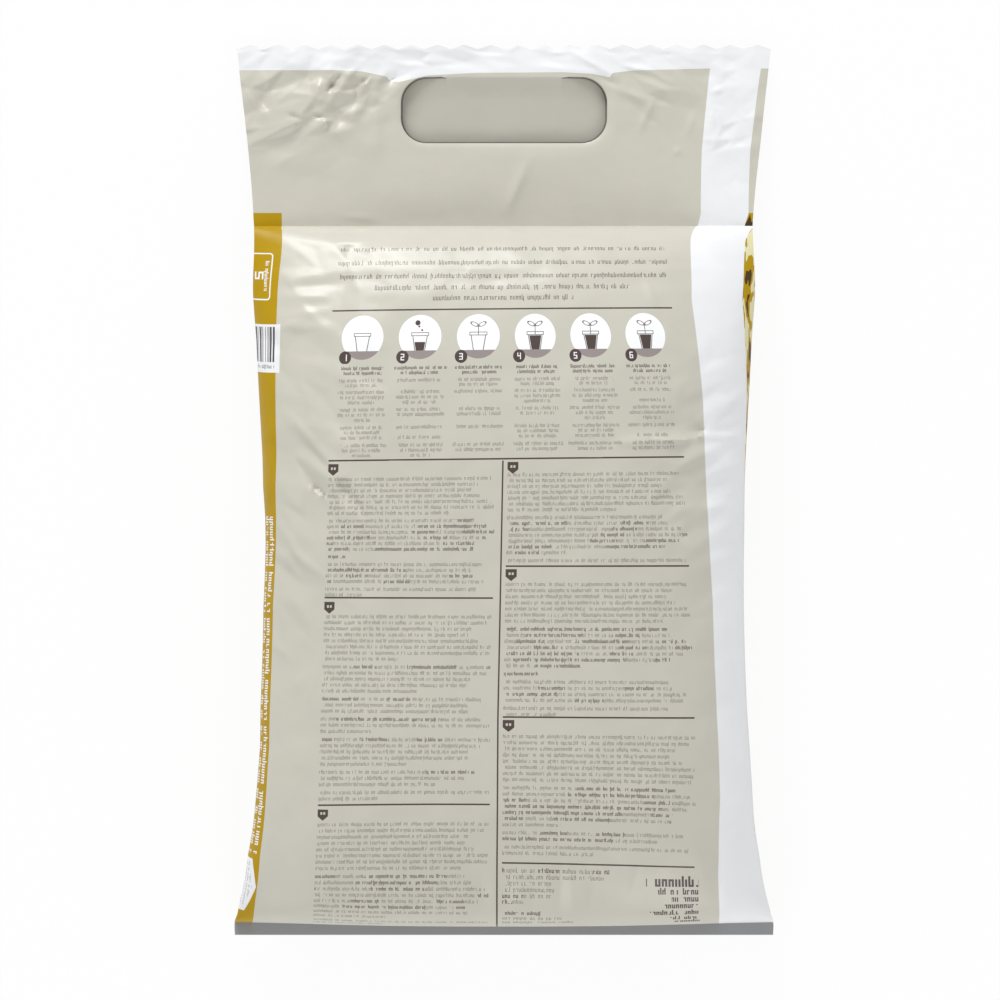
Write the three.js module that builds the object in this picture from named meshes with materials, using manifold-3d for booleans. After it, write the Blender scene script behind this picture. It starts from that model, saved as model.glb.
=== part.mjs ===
// A filled five litre compost bag, lying on its front panel with its back panel up, in millimetres.
// It is one tube of printed film: welded across the bottom, filled, welded again above the fill, and
// left long past that weld as a flat header with a carrying slot and a toothed cut edge.
// X runs across the bag, Y from the bottom weld to the cut edge, and Z up from what it lies on.
// The origin is on that surface, under the middle of the bag.
import * as THREE from 'three';
import { mergeVertices } from 'three/addons/utils/BufferGeometryUtils.js';
import Module from 'manifold-3d';

const wasm = await Module();
wasm.setup();

// Lengths along the bag as it lies
const finLength = 7; // bottom weld, standing out past the fill
const pouchLength = 368; // filled part, from weld to weld
const headerLength = 96.5; // from the upper weld to the tips of the cut edge

// Widths across the bag, seen from above
const flatWidth = 285; // empty tube laid flat, which the bottom weld keeps
const heelWidth = 271; // where the fill starts to round the sides
const cornerWidth = 263;
const waistWidth = 253; // narrowest place, where the fill is thickest
const shoulderWidth = 265;
const neckWidth = 262.5; // at the upper weld
const slotLevelWidth = 272; // header beside the carrying slot
const topWidth = 281; // at the cut edge

// Where those widths are: from the bottom weld upwards, and from the upper weld downwards or upwards
const heelAt = 29;
const cornerAt = 60;
const waistAt = 186;
const shoulderBelowNeck = 38;
const slotLevelAboveNeck = 56;

// Heights above the surface
const crownHeight = 72; // top of the fill
const creaseHeight = 30; // edges at the sides, where the back panel turns into the front panel
const finHeight = 6; // bottom weld
const neckHeight = 13; // upper weld
const headerTipHeight = 4; // cut edge of the header

// How the pouch is rounded
const footRise = 140; // length over which the back panel climbs from the bottom weld
const neckRise = 200; // and from the upper weld
const bellyWidth = 128; // flat strip that the bag lies on
const bellyRun = 34; // length over which the front panel climbs to a weld
const footOverhang = 4.5; // how far the fill leans out over the bottom weld
const footReach = 9; // how far in from that weld it leans most

// How full its curves are: the higher the number, the squarer the curve
const climbFullness = 3;
const archFullness = 2.6;
const openArchPinch = 0.5; // where the pouch is full
const weldedArchPinch = 1.2; // by a weld, where the corners stay nearly flat

// How gently the back panel leaves a weld: the lower the number, the more upright it starts
const footClimb = 0.25;
const neckClimb = 0.5;

// Film
const filmPair = 1; // the two films of the tube, pressed together with air between them
const toothCount = 20; // along the cut edge
const toothDepth = 2.4;

// Carrying slot, punched as a flap that stays on along the middle of the slot's upper edge
const slotLength = 109;
const slotWidth = 35.6;
const slotBelowTip = 34.8; // from the tips of the cut edge to the slot's centre line
const hingeLength = 61;
const flapSetBack = 3; // how far the flap's free edges lie behind the header
const flapGap = 0.5; // cut between flap and header, seen from above
const flapThickness = 0.6;
const flapCurl = 1.6;
const tongueLength = 3; // part of the flap's film inside the strip above the slot
const tongueRoot = 9; // and the part that runs down into the flap

// Creases pressed into the film. From and to are given across from the middle, and along from the
// bottom weld or, on the header, from the upper weld. A crease stands out by its height, or goes in
// where the height is negative.
const pouchCreases = [
  { from: [72, 253], to: [131, 257], width: 7, height: 1.6 },
  { from: [70, 260], to: [128, 265], width: 8, height: -1.8 },
  { from: [-112, 268], to: [-90, 241], width: 8, height: 2.2 },
  { from: [-104, 255], to: [-84, 233], width: 9, height: -2 },
  { from: [-120, 215], to: [-104, 189], width: 8, height: 2 },
  { from: [-126, 207], to: [-112, 181], width: 9, height: -1.8 },
  { from: [-118, 335], to: [-84, 336], width: 8, height: -1.4 },
  { from: [-120, 319], to: [-92, 322], width: 8, height: 1.4 },
  { from: [104, 219], to: [122, 221], width: 9, height: 1.6 },
  { from: [100, 109], to: [126, 121], width: 11, height: -1.6 },
  { from: [-106, 63], to: [-92, 89], width: 12, height: -1.4 },
];
const headerCreases = [
  { from: [-134, 69], to: [-112, 57], width: 7, height: 1.8 },
  { from: [-126, 59], to: [-116, 45], width: 7, height: -1.8 },
  { from: [-112, 53], to: [-96, 65], width: 7, height: 2 },
  { from: [-98, 77], to: [-84, 65], width: 7, height: 1.6 },
  { from: [-132, 39], to: [-104, 49], width: 8, height: 1.8 },
  { from: [-70, 75], to: [-58, 51], width: 8, height: 1.4 },
  { from: [58, 73], to: [76, 55], width: 8, height: 1.4 },
  { from: [10, 27], to: [18, 13], width: 9, height: 1.2 },
];

// Fineness of the mesh
const pouchRows = 37;
const headerRows = 13;
const sectionSteps = 160;
const stationSteps = 600;
const slotArcSteps = 12;
const flapColumns = 28;
const flapRows = 10;
const mergeDistance = 1e-4;

// Places along the bag that the sizes above lead to, from its bottom edge
const neckAt = finLength + pouchLength;
const bagLength = neckAt + headerLength;
const slotAt = bagLength - slotBelowTip;
const columns = 2 * toothCount;

const outline = [
  [0, flatWidth / 2],
  [finLength, flatWidth / 2],
  [finLength + heelAt, heelWidth / 2],
  [finLength + cornerAt, cornerWidth / 2],
  [finLength + waistAt, waistWidth / 2],
  [neckAt - shoulderBelowNeck, shoulderWidth / 2],
  [neckAt, neckWidth / 2],
  [neckAt + slotLevelAboveNeck, slotLevelWidth / 2],
  [bagLength, topWidth / 2],
];

// A smooth line through stations, each a position and a value.
function smoothThrough(stations, position) {
  const last = stations.length - 1;
  const slopeBetween = (a, b) => (stations[b][1] - stations[a][1]) / (stations[b][0] - stations[a][0]);
  const slopeAt = (n) => slopeBetween(Math.max(n - 1, 0), Math.min(n + 1, last));
  let n = 0;
  while (n < last - 1 && position > stations[n + 1][0]) n += 1;
  const [start, startValue] = stations[n];
  const [end, endValue] = stations[n + 1];
  const span = end - start;
  const t = THREE.MathUtils.clamp((position - start) / span, 0, 1);
  const startWeight = 2 * t ** 3 - 3 * t ** 2 + 1;
  const startTangent = (t ** 3 - 2 * t ** 2 + t) * span * slopeAt(n);
  const endTangent = (t ** 3 - t ** 2) * span * slopeAt(n + 1);
  return startWeight * startValue + (1 - startWeight) * endValue + startTangent + endTangent;
}

const halfWidthAt = (y) => smoothThrough(outline, y);

// Share of the full height that a filled film reaches at a distance from a weld.
function climb(distance, run, start) {
  const left = 1 - THREE.MathUtils.clamp(distance / run, 0, 1);
  return (1 - left ** climbFullness) ** start;
}

const footFullness = (y) => climb(y - finLength, footRise, footClimb);
const fullnessAt = (y) => footFullness(y) * climb(neckAt - y, neckRise, neckClimb);
const weldHeightAt = (y) => THREE.MathUtils.lerp(finHeight, neckHeight, (y - finLength) / pouchLength);
const crownAt = (y) => THREE.MathUtils.lerp(weldHeightAt(y), crownHeight, fullnessAt(y));
const creaseAt = (y) => THREE.MathUtils.lerp(weldHeightAt(y), creaseHeight, fullnessAt(y));

// The front panel lies flat under the fill and climbs to the welds at its two ends.
function bellyAt(y) {
  const toWeld = Math.min(y - finLength, neckAt - y);
  return weldHeightAt(y) * Math.max(0, 1 - toWeld / bellyRun) ** 2;
}

// What the creases add at a point, given across from the middle and along from the creases' weld.
function creasing(creases, across, along) {
  const point = new THREE.Vector3(across, along, 0);
  const nearest = new THREE.Vector3();
  return creases.reduce((sum, { from, to, width, height }) => {
    const line = new THREE.Line3(new THREE.Vector3(...from, 0), new THREE.Vector3(...to, 0));
    line.closestPointToPoint(point, true, nearest);
    return sum + height * Math.exp(-((nearest.distanceTo(point) / width) ** 2));
  }, 0);
}

// A section of the pouch, from its left edge to its right edge, as a list of points.
function backSection(y) {
  const half = halfWidthAt(y);
  const crease = creaseAt(y) + filmPair / 2;
  const rise = crownAt(y) - creaseAt(y);
  const pinch = THREE.MathUtils.lerp(weldedArchPinch, openArchPinch, fullnessAt(y));
  return sectionOf((across) => {
    const arch = (1 - Math.abs(across) ** archFullness) ** pinch;
    return [half * across, crease + rise * arch];
  });
}

function frontSection(y) {
  const half = halfWidthAt(y);
  const belly = bellyAt(y);
  const rise = creaseAt(y) - filmPair / 2 - belly;
  return sectionOf((across) => {
    const flat = bellyWidth / 2;
    const out = THREE.MathUtils.clamp((Math.abs(across) * half - flat) / (half - flat), 0, 1);
    return [half * across, belly + rise * (1 - Math.sqrt(1 - out ** 2))];
  });
}

function headerHeightAt(x, y) {
  const run = THREE.MathUtils.clamp((y - neckAt) / headerLength, 0, 1);
  const slope = THREE.MathUtils.lerp(neckHeight, headerTipHeight, run);
  const slack = Math.sin(Math.PI * run); // the header can only ripple between its two edges
  return slope + slack * creasing(headerCreases, x, y - neckAt);
}

// The same number of points on every section, an equal length of film apart.
function sectionOf(pointAt) {
  const fine = [];
  for (let step = 0; step <= sectionSteps; step += 1) fine.push(pointAt((2 * step) / sectionSteps - 1));
  const lengths = [0];
  for (let step = 1; step <= sectionSteps; step += 1) {
    const [x0, z0] = fine[step - 1];
    const [x1, z1] = fine[step];
    lengths.push(lengths[step - 1] + Math.hypot(x1 - x0, z1 - z0));
  }
  const points = [];
  let step = 1;
  for (let column = 0; column <= columns; column += 1) {
    const wanted = (lengths[sectionSteps] * column) / columns;
    while (step < sectionSteps && lengths[step] < wanted) step += 1;
    const share = (wanted - lengths[step - 1]) / (lengths[step] - lengths[step - 1]);
    const [x0, z0] = fine[step - 1];
    const [x1, z1] = fine[step];
    points.push([THREE.MathUtils.lerp(x0, x1, share), THREE.MathUtils.lerp(z0, z1, share)]);
  }
  return points;
}

// Stations along the pouch an equal length of film apart on its middle line, without the two welds.
function pouchStations() {
  const lengths = [0];
  const places = [finLength];
  for (let step = 1; step <= stationSteps; step += 1) {
    const y = finLength + (pouchLength * step) / stationSteps;
    const rise = crownAt(y) - crownAt(places[step - 1]);
    places.push(y);
    lengths.push(lengths[step - 1] + Math.hypot(y - places[step - 1], rise));
  }
  const stations = [];
  for (let row = 1; row < pouchRows; row += 1) {
    const wanted = (lengths[stationSteps] * row) / pouchRows;
    stations.push(places[lengths.findIndex((length) => length >= wanted)]);
  }
  return stations;
}

// Rows of points over the back of the bag and under its front, from the bottom edge to the cut edge.
function flatRow(y, heightAt, offset) {
  const half = halfWidthAt(y);
  const row = [];
  for (let column = 0; column <= columns; column += 1) {
    const x = half * ((2 * column) / columns - 1);
    row.push(new THREE.Vector3(x, y, heightAt(x, y) + offset));
  }
  return row;
}

function toothedRow(heightAt, offset) {
  const row = flatRow(bagLength, heightAt, offset);
  row.forEach((point, column) => {
    if (column % 2 === 0) point.y -= toothDepth;
  });
  return row;
}

function backRow(y) {
  const fromWeld = y - finLength;
  const lean = footOverhang * (fromWeld / footReach) * Math.exp(1 - fromWeld / footReach);
  return backSection(y).map(([x, z]) => {
    const share = (z - creaseAt(y)) / (crownAt(y) - creaseAt(y));
    return new THREE.Vector3(x, y - lean * share, z + share * creasing(pouchCreases, x, fromWeld));
  });
}

const frontRow = (y) => frontSection(y).map(([x, z]) => new THREE.Vector3(x, y, z));

function rowsOf(offset, pouchRow) {
  const rows = [flatRow(0, () => finHeight, offset), flatRow(finLength, () => finHeight, offset)];
  pouchStations().forEach((y) => rows.push(pouchRow(y)));
  for (let row = 0; row < headerRows; row += 1) {
    const y = neckAt + ((headerLength - toothDepth) * row) / headerRows;
    rows.push(flatRow(y, headerHeightAt, offset));
  }
  rows.push(toothedRow(headerHeightAt, offset));
  return rows;
}

// A closed solid between an upper and a lower grid of points.
function solidBetween(upper, lower) {
  const positions = [];
  const triangle = (...corners) => corners.forEach(({ x, y, z }) => positions.push(x, y, z));
  const quad = (a, b, c, d) => {
    triangle(a, b, c);
    triangle(a, c, d);
  };
  const lastRow = upper.length - 1;
  const lastColumn = upper[0].length - 1;
  for (let row = 0; row < lastRow; row += 1) {
    for (let column = 0; column < lastColumn; column += 1) {
      const right = column + 1;
      const above = row + 1;
      quad(upper[row][column], upper[row][right], upper[above][right], upper[above][column]);
      quad(lower[row][column], lower[above][column], lower[above][right], lower[row][right]);
    }
    quad(lower[row][0], upper[row][0], upper[row + 1][0], lower[row + 1][0]);
    quad(
      upper[row][lastColumn],
      lower[row][lastColumn],
      lower[row + 1][lastColumn],
      upper[row + 1][lastColumn],
    );
  }
  for (let column = 0; column < lastColumn; column += 1) {
    const right = column + 1;
    quad(lower[0][column], lower[0][right], upper[0][right], upper[0][column]);
    quad(lower[lastRow][right], lower[lastRow][column], upper[lastRow][column], upper[lastRow][right]);
  }
  const geometry = new THREE.BufferGeometry();
  geometry.setAttribute('position', new THREE.Float32BufferAttribute(positions, 3));
  return geometry;
}

// A three.js geometry as a solid that can be cut and joined, and back again.
function toSolid(geometry) {
  const bare = geometry.clone();
  bare.deleteAttribute('normal');
  bare.deleteAttribute('uv');
  const merged = mergeVertices(bare, mergeDistance);
  const vertProperties = new Float32Array(merged.attributes.position.array);
  const triVerts = new Uint32Array(merged.index.array);
  return new wasm.Manifold(new wasm.Mesh({ numProp: 3, vertProperties, triVerts }));
}

function toGeometry(solid) {
  const { vertProperties, triVerts } = solid.getMesh();
  const geometry = new THREE.BufferGeometry();
  geometry.setAttribute('position', new THREE.BufferAttribute(vertProperties, 3));
  geometry.setIndex(new THREE.BufferAttribute(triVerts, 1));
  geometry.computeVertexNormals();
  return geometry;
}

// An upright block with the outline of the carrying slot, smaller all round by a margin.
function slotBlock(margin) {
  const radius = slotWidth / 2 - margin;
  const centre = (slotLength - slotWidth) / 2;
  const shape = new THREE.Shape();
  shape.absarc(centre, slotAt, radius, -Math.PI / 2, Math.PI / 2);
  shape.absarc(-centre, slotAt, radius, Math.PI / 2, (3 * Math.PI) / 2);
  return uprightBlock(shape);
}

function tongueBlock() {
  const top = slotAt + slotWidth / 2;
  const shape = new THREE.Shape([
    new THREE.Vector2(-hingeLength / 2, top - tongueRoot),
    new THREE.Vector2(hingeLength / 2, top - tongueRoot),
    new THREE.Vector2(hingeLength / 2, top + tongueLength),
    new THREE.Vector2(-hingeLength / 2, top + tongueLength),
  ]);
  return uprightBlock(shape);
}

function uprightBlock(shape) {
  const reach = crownHeight + flapSetBack;
  const settings = { depth: 2 * reach, bevelEnabled: false, curveSegments: slotArcSteps };
  return toSolid(new THREE.ExtrudeGeometry(shape, settings).translate(0, 0, -reach));
}

// The flap's film leaves the header along the hinge and falls back towards its free edges.
function flapHeightAt(x, y) {
  const top = slotAt + slotWidth / 2;
  const down = THREE.MathUtils.clamp((top - y) / slotWidth, 0, 1);
  const aside = THREE.MathUtils.smoothstep(Math.abs(x), hingeLength / 2, slotLength / 2);
  const held = (1 - aside) * (1 - down) ** flapCurl;
  return headerHeightAt(x, y) - flapSetBack * (1 - held);
}

function flapSheet() {
  const reachAcross = slotLength / 2 + flapGap;
  const low = slotAt - slotWidth / 2 - flapGap;
  const high = slotAt + slotWidth / 2 + tongueLength + flapGap;
  const rows = (offset) => {
    const made = [];
    for (let along = 0; along <= flapRows; along += 1) {
      const y = THREE.MathUtils.lerp(low, high, along / flapRows);
      const row = [];
      for (let across = 0; across <= flapColumns; across += 1) {
        const x = THREE.MathUtils.lerp(-reachAcross, reachAcross, across / flapColumns);
        row.push(new THREE.Vector3(x, y, flapHeightAt(x, y) + offset));
      }
      made.push(row);
    }
    return made;
  };
  return toSolid(solidBetween(rows(flapThickness / 2), rows(-flapThickness / 2)));
}

function bagGeometry() {
  const tube = toSolid(solidBetween(rowsOf(filmPair / 2, backRow), rowsOf(-filmPair / 2, frontRow)));
  const flap = flapSheet().intersect(slotBlock(flapGap).add(tongueBlock()));
  return toGeometry(tube.subtract(slotBlock(0)).add(flap));
}

const printedFilm = new THREE.MeshStandardMaterial({ color: 0xc5c2b6, roughness: 0.38, metalness: 0 });

const bag = new THREE.Mesh(bagGeometry(), printedFilm);
bag.name = 'filled_bag';
bag.position.y = -bagLength / 2;

const compostBag = new THREE.Group();
compostBag.add(bag);
export default compostBag;
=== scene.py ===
"""A filled compost bag of printed film, lying on its front panel, made as a Blender add-on.

X runs across the bag, Y from the bottom weld to the toothed cut edge, and Z up from the floor.
Sizes are in metres, as Blender keeps them, and MM turns millimetres into metres.
"""

import math

import bmesh
import bpy
import numpy as np
from bpy.props import FloatProperty, FloatVectorProperty, IntProperty, PointerProperty
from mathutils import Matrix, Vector


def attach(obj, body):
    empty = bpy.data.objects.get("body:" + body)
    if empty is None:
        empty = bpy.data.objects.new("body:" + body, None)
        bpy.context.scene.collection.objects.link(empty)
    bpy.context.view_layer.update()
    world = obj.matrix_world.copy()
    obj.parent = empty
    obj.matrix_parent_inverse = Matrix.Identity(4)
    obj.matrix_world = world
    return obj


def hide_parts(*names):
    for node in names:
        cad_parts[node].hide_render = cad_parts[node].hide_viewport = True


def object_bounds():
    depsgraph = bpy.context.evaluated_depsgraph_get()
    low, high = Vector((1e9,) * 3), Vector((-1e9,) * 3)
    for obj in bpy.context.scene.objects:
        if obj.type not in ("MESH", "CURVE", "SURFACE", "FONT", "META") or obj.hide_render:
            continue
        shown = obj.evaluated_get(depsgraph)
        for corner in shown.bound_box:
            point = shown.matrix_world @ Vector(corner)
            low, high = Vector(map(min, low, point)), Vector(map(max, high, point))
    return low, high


bl_info = {
    "name": "Compost Bag",
    "version": (1, 0, 0),
    "blender": (4, 5, 0),
    "location": "View3D > Sidebar > Compost Bag",
    "description": "Makes a filled film bag with its print, its welds and its hand slot",
    "category": "Add Mesh",
}

MM = 0.001

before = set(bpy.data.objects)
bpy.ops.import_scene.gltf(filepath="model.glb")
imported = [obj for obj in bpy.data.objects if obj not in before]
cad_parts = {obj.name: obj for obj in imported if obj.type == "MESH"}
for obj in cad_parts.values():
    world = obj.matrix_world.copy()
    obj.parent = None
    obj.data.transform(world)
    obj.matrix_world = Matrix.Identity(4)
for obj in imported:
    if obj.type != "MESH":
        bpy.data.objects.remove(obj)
solid_low, solid_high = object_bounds()

# Lengths along the bag as it lies, in millimetres like every size below
BAG_LENGTH = (solid_high.y - solid_low.y) / MM
HEADER_LENGTH = 96.5
FIN_LENGTH = 7
NECK_AT = BAG_LENGTH - HEADER_LENGTH
POUCH_LENGTH = NECK_AT - FIN_LENGTH

# The film: its section, its finish with a mottle, soft waves and a fine grain, and its toothed edge.
# Half a gap lies on each side of the middle where two films lie on each other.
SIDE_BULGE_POWER = 2.6
HALF_GAP = 0.4
FILM_ROUGHNESS = 0.27
FILM_SMEARS = 0.12
FILM_SHINE = 0.4
GOLD_SHINE = 0.12
MOTTLE = 0.07
WAVE_DEPTH = 0.7
GRAIN_DEPTH = 0.06
CUT_EDGE_TEETH = 20
TOOTH_DEPTH = 2.4
TOOTH_ROWS = 5

# Shares of the rows of faces that go to the fin and to the header, where the folds are finest
FIN_ROWS = 0.015
HEADER_ROWS = 0.28
FRONT_FACES_KEPT = 0.2

# The hand slot, and the flap that hangs on the middle of its upper edge
SLOT_LENGTH = 109
SLOT_WIDTH = 35
SLOT_CORNER = 13.5
SLOT_CORNER_STEPS = 14
SLOT_TO_CUT_EDGE = 34.8
SLOT_AT = BAG_LENGTH - SLOT_TO_CUT_EDGE
HINGE_LENGTH = 61
CUT_WIDTH = 0.35
CUT_DEPTH = 40
LIP_DEPTH = 1.1
LIP_WIDTH = 1.6
CALM_WIDTH = 9
TUCK = 2.4

# Painted shade on the flap, which lies below the header: how much darker it is painted than the header
# all over, along its free edges, and as a painted shadow in the line of the cut
FLAP_PAINTED_SHADE = 0.1
FLAP_EDGE_PAINTED_SHADE = 0.14
FLAP_PAINTED_SHADE_REACH = 2.6
CUT_LINE_PAINTED_SHADOW = 0.4
CUT_SHADOW_LINE_WIDTH = 0.8


def outline_stations(sizes):
    """Places along the bag, from its bottom edge, and half its width there."""
    flat = sizes.flat_width / MM
    return [
        (0, flat / 2),
        (FIN_LENGTH, flat / 2),
        (FIN_LENGTH + 29, flat / 2 - 7),
        (FIN_LENGTH + 60, flat / 2 - 11),
        (FIN_LENGTH + 186, sizes.waist_width / MM / 2),
        (NECK_AT - 38, flat / 2 - 10),
        (NECK_AT, sizes.neck_width / MM / 2),
        (NECK_AT + 56, flat / 2 - 6.5),
        (BAG_LENGTH, sizes.top_width / MM / 2),
    ]


class BagSizes(bpy.types.PropertyGroup):
    """The sizes of the bag that a user would change."""

    flat_width: FloatProperty(
        name="Flat width",
        description="Width of the empty tube, which the bottom weld keeps",
        default=solid_high.x - solid_low.x,
        unit="LENGTH",
    )
    waist_width: FloatProperty(
        name="Waist width",
        description="Width where the fill draws the sides in most",
        default=0.253,
        unit="LENGTH",
    )
    neck_width: FloatProperty(
        name="Neck width",
        description="Width at the upper weld",
        default=0.2625,
        unit="LENGTH",
    )
    top_width: FloatProperty(
        name="Top width",
        description="Width at the toothed cut edge",
        default=0.281,
        unit="LENGTH",
    )
    thickness: FloatProperty(
        name="Thickness",
        description="Height of the fill above the floor",
        default=solid_high.z - solid_low.z - 0.5 * MM,
        unit="LENGTH",
    )
    side_height: FloatProperty(
        name="Side height",
        description="Height at which the back panel turns into the front panel",
        default=0.030,
        unit="LENGTH",
    )
    flap_drop: FloatProperty(
        name="Flap drop",
        description="How far the free edges of the slot's flap lie below the header",
        default=0.0048,
        unit="LENGTH",
    )
    columns: IntProperty(name="Columns", description="Faces across one panel", default=236, min=40)
    rows: IntProperty(name="Rows", description="Faces along one panel", default=338, min=60)


class BagColours(bpy.types.PropertyGroup):
    """The colours of the film and its print, and the grey that paints the shade on the bottom weld."""

    sand: FloatVectorProperty(
        name="Sand",
        description="Ground colour of the back panel",
        default=(0.558, 0.539, 0.468),
        subtype="COLOR",
    )
    white: FloatVectorProperty(
        name="White",
        description="Unprinted film",
        default=(0.81, 0.817, 0.836),
        subtype="COLOR",
    )
    # Painted shade: the bottom weld is white film, and this grey paints into its colour the shadow that
    # the pouch's foot casts on it
    weld: FloatVectorProperty(
        name="Weld",
        description="Film that is welded flat at the bottom",
        default=(0.295, 0.30, 0.308),
        subtype="COLOR",
    )
    gold: FloatVectorProperty(
        name="Gold",
        description="Ground colour of the front panel, which wraps round the side",
        default=(0.43, 0.27, 0.006),
        subtype="COLOR",
    )
    ink: FloatVectorProperty(
        name="Ink",
        description="Dark print",
        default=(0.075, 0.053, 0.046),
        subtype="COLOR",
    )


def smooth_through(stations, places):
    """Values of a smooth line through stations, each a place and a value."""
    at = np.array([s[0] for s in stations], float)
    value = np.array([s[1] for s in stations], float)
    before = np.maximum(np.arange(len(at)) - 1, 0)
    after = np.minimum(np.arange(len(at)) + 1, len(at) - 1)
    slope = (value[after] - value[before]) / (at[after] - at[before])
    n = np.clip(np.searchsorted(at, places, side="left") - 1, 0, len(at) - 2)
    span = at[n + 1] - at[n]
    t = np.clip((places - at[n]) / span, 0, 1)
    start = 2 * t**3 - 3 * t**2 + 1
    tangents = (t**3 - 2 * t**2 + t) * slope[n] + (t**3 - t**2) * slope[n + 1]
    return start * value[n] + (1 - start) * value[n + 1] + tangents * span


def mix(low, high, share):
    """The value that lies a share of the way from low to high."""
    return low + (high - low) * share


def ease(low, high, value):
    """A smooth step from 0 at low to 1 at high."""
    t = np.clip((value - low) / (high - low), 0, 1)
    return t * t * (3 - 2 * t)


class Shape:
    """The filled bag's form before its creases: heights and sections along its length.

    A rise or a run is a length along the bag, and a climb is the power that shapes the rise.
    """

    fin_height = 6
    neck_height = 13
    tip_height = 4
    foot_rise = 140
    neck_rise = 200
    foot_climb = 0.25
    neck_climb = 0.5
    belly_width = 128
    belly_run = 34
    foot_overhang = 4.5
    foot_reach = 9

    def __init__(self, sizes):
        self.stations = outline_stations(sizes)
        self.crown_height = sizes.thickness / MM
        self.side_height = sizes.side_height / MM

    def half(self, y):
        """Half the width of the bag."""
        return smooth_through(self.stations, y)

    def climb(self, distance, run, start):
        """A rise from 0 at a weld to 1 a run away from it, steeper at the weld the less start is."""
        left = 1 - np.clip(distance / run, 0, 1)
        return (1 - left**3) ** start

    def fullness(self, y):
        """How far the fill opens the tube, from 0 at the welds to 1 between them."""
        foot = self.climb(y - FIN_LENGTH, self.foot_rise, self.foot_climb)
        return foot * self.climb(NECK_AT - y, self.neck_rise, self.neck_climb)

    def weld_height(self, y):
        """Height of the flat film, from the bottom weld to the upper one."""
        return mix(self.fin_height, self.neck_height, (y - FIN_LENGTH) / POUCH_LENGTH)

    def crown(self, y):
        """Height of the back panel's middle."""
        return mix(self.weld_height(y), self.crown_height, self.fullness(y))

    def side(self, y):
        """Height at which the two panels meet."""
        return mix(self.weld_height(y), self.side_height, self.fullness(y))

    def belly(self, y):
        """Height of the front panel's middle, which rises from the floor only near the welds."""
        to_weld = np.minimum(y - FIN_LENGTH, NECK_AT - y)
        return self.weld_height(y) * np.maximum(0, 1 - to_weld / self.belly_run) ** 2

    def header(self, y):
        """Height of the header, which slopes down to its cut edge."""
        return mix(self.neck_height, self.tip_height, np.clip((y - NECK_AT) / HEADER_LENGTH, 0, 1))

    def back(self, across, y):
        """X and Z of the back panel's section, for across from -1 to 1."""
        pinch = 1.2 - 0.7 * self.fullness(y)
        arch = (1 - np.abs(across) ** SIDE_BULGE_POWER) ** pinch
        return self.half(y) * across, mix(self.side(y), self.crown(y), arch)

    def front(self, across, y):
        """X and Z of the front panel's section, for across from -1 to 1."""
        half = self.half(y)
        flat = self.belly_width / 2
        out = np.clip((np.abs(across) * half - flat) / (half - flat), 0, 1)
        return half * across, mix(self.belly(y), self.side(y), 1 - np.sqrt(1 - out**2))

    def even_section(self, section, y, columns):
        """A section as columns + 1 points an equal length of film apart."""
        across = np.sin(np.linspace(-math.pi / 2, math.pi / 2, 401))
        x, z = section(across, y)
        length = np.concatenate([[0], np.cumsum(np.hypot(np.diff(x), np.diff(z)))])
        wanted = np.linspace(0, length[-1], columns + 1)
        return np.interp(wanted, length, x), np.interp(wanted, length, z)

    def row_places(self, rows):
        """Places along the bag for rows + 1 rows, an equal length of film apart."""
        y = np.linspace(FIN_LENGTH, NECK_AT, 4001)
        length = np.concatenate([[0], np.cumsum(np.hypot(np.diff(y), np.diff(self.crown(y))))])
        fin_rows = round(rows * FIN_ROWS)
        header_rows = round(rows * HEADER_ROWS)
        pouch_rows = rows - fin_rows - header_rows
        pouch = np.interp(np.linspace(0, length[-1], pouch_rows + 1), length, y)
        fin = np.linspace(0, FIN_LENGTH, fin_rows, endpoint=False)
        header = np.linspace(NECK_AT, BAG_LENGTH, header_rows + 1)
        places = np.concatenate([fin, pouch[:-1], header])
        film = np.concatenate(
            [
                fin,
                FIN_LENGTH + np.linspace(0, length[-1], pouch_rows + 1)[:-1],
                FIN_LENGTH + length[-1] + header - NECK_AT,
            ]
        )
        return places, film


# How a crease looks: its crest's rounding and how fast it falls away, both for its width, and the share
# of its height that it keeps at its ends
CREASE_ROUNDING = 0.35
CREASE_FALL = 1.6
CREASE_ENDS = 0.35

# Creases of the back panel, each from one place to another, with its width and its height. Places are
# given across from the middle, and along from the bottom edge. A dent has a negative height.
POUCH_CREASES = [
    # the long pleat on the right
    ((60, 260), (130, 264.5), 2, 2.4),
    ((66, 267), (133, 272), 8, -1.5),
    # folds on the left side
    ((-112, 275), (-90, 248), 2.6, 2.2),
    ((-106, 262), (-86, 240), 6, -1.8),
    ((-120, 222), (-104, 196), 3, 2.2),
    ((-110, 203), (-93, 190), 1.9, 1.7),
    ((-101, 258), (-89, 245), 1.8, -1.6),
    ((-115, 337), (-93, 336), 1.9, 1.4),
    ((-116, 321), (-104, 324), 1.8, 1.3),
    ((-122, 156), (-112, 148), 2.4, 1.2),
    ((-126, 214), (-112, 188), 6, -1.6),
    ((-118, 342), (-84, 343), 3, -1.4),
    ((-120, 326), (-92, 329), 3, 1.4),
    ((-108, 176), (-100, 164), 5, 1.0),
    # folds on the right side
    ((104, 226), (122, 228), 5, 1.2),
    ((106, 204), (124, 206), 5, -1.0),
    ((74, 346), (79, 330), 3, 0.7),
    ((84, 318), (92, 308), 3, 0.7),
    ((100, 116), (126, 128), 9, -1.4),
    ((-106, 70), (-92, 96), 10, -1.2),
]

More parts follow.
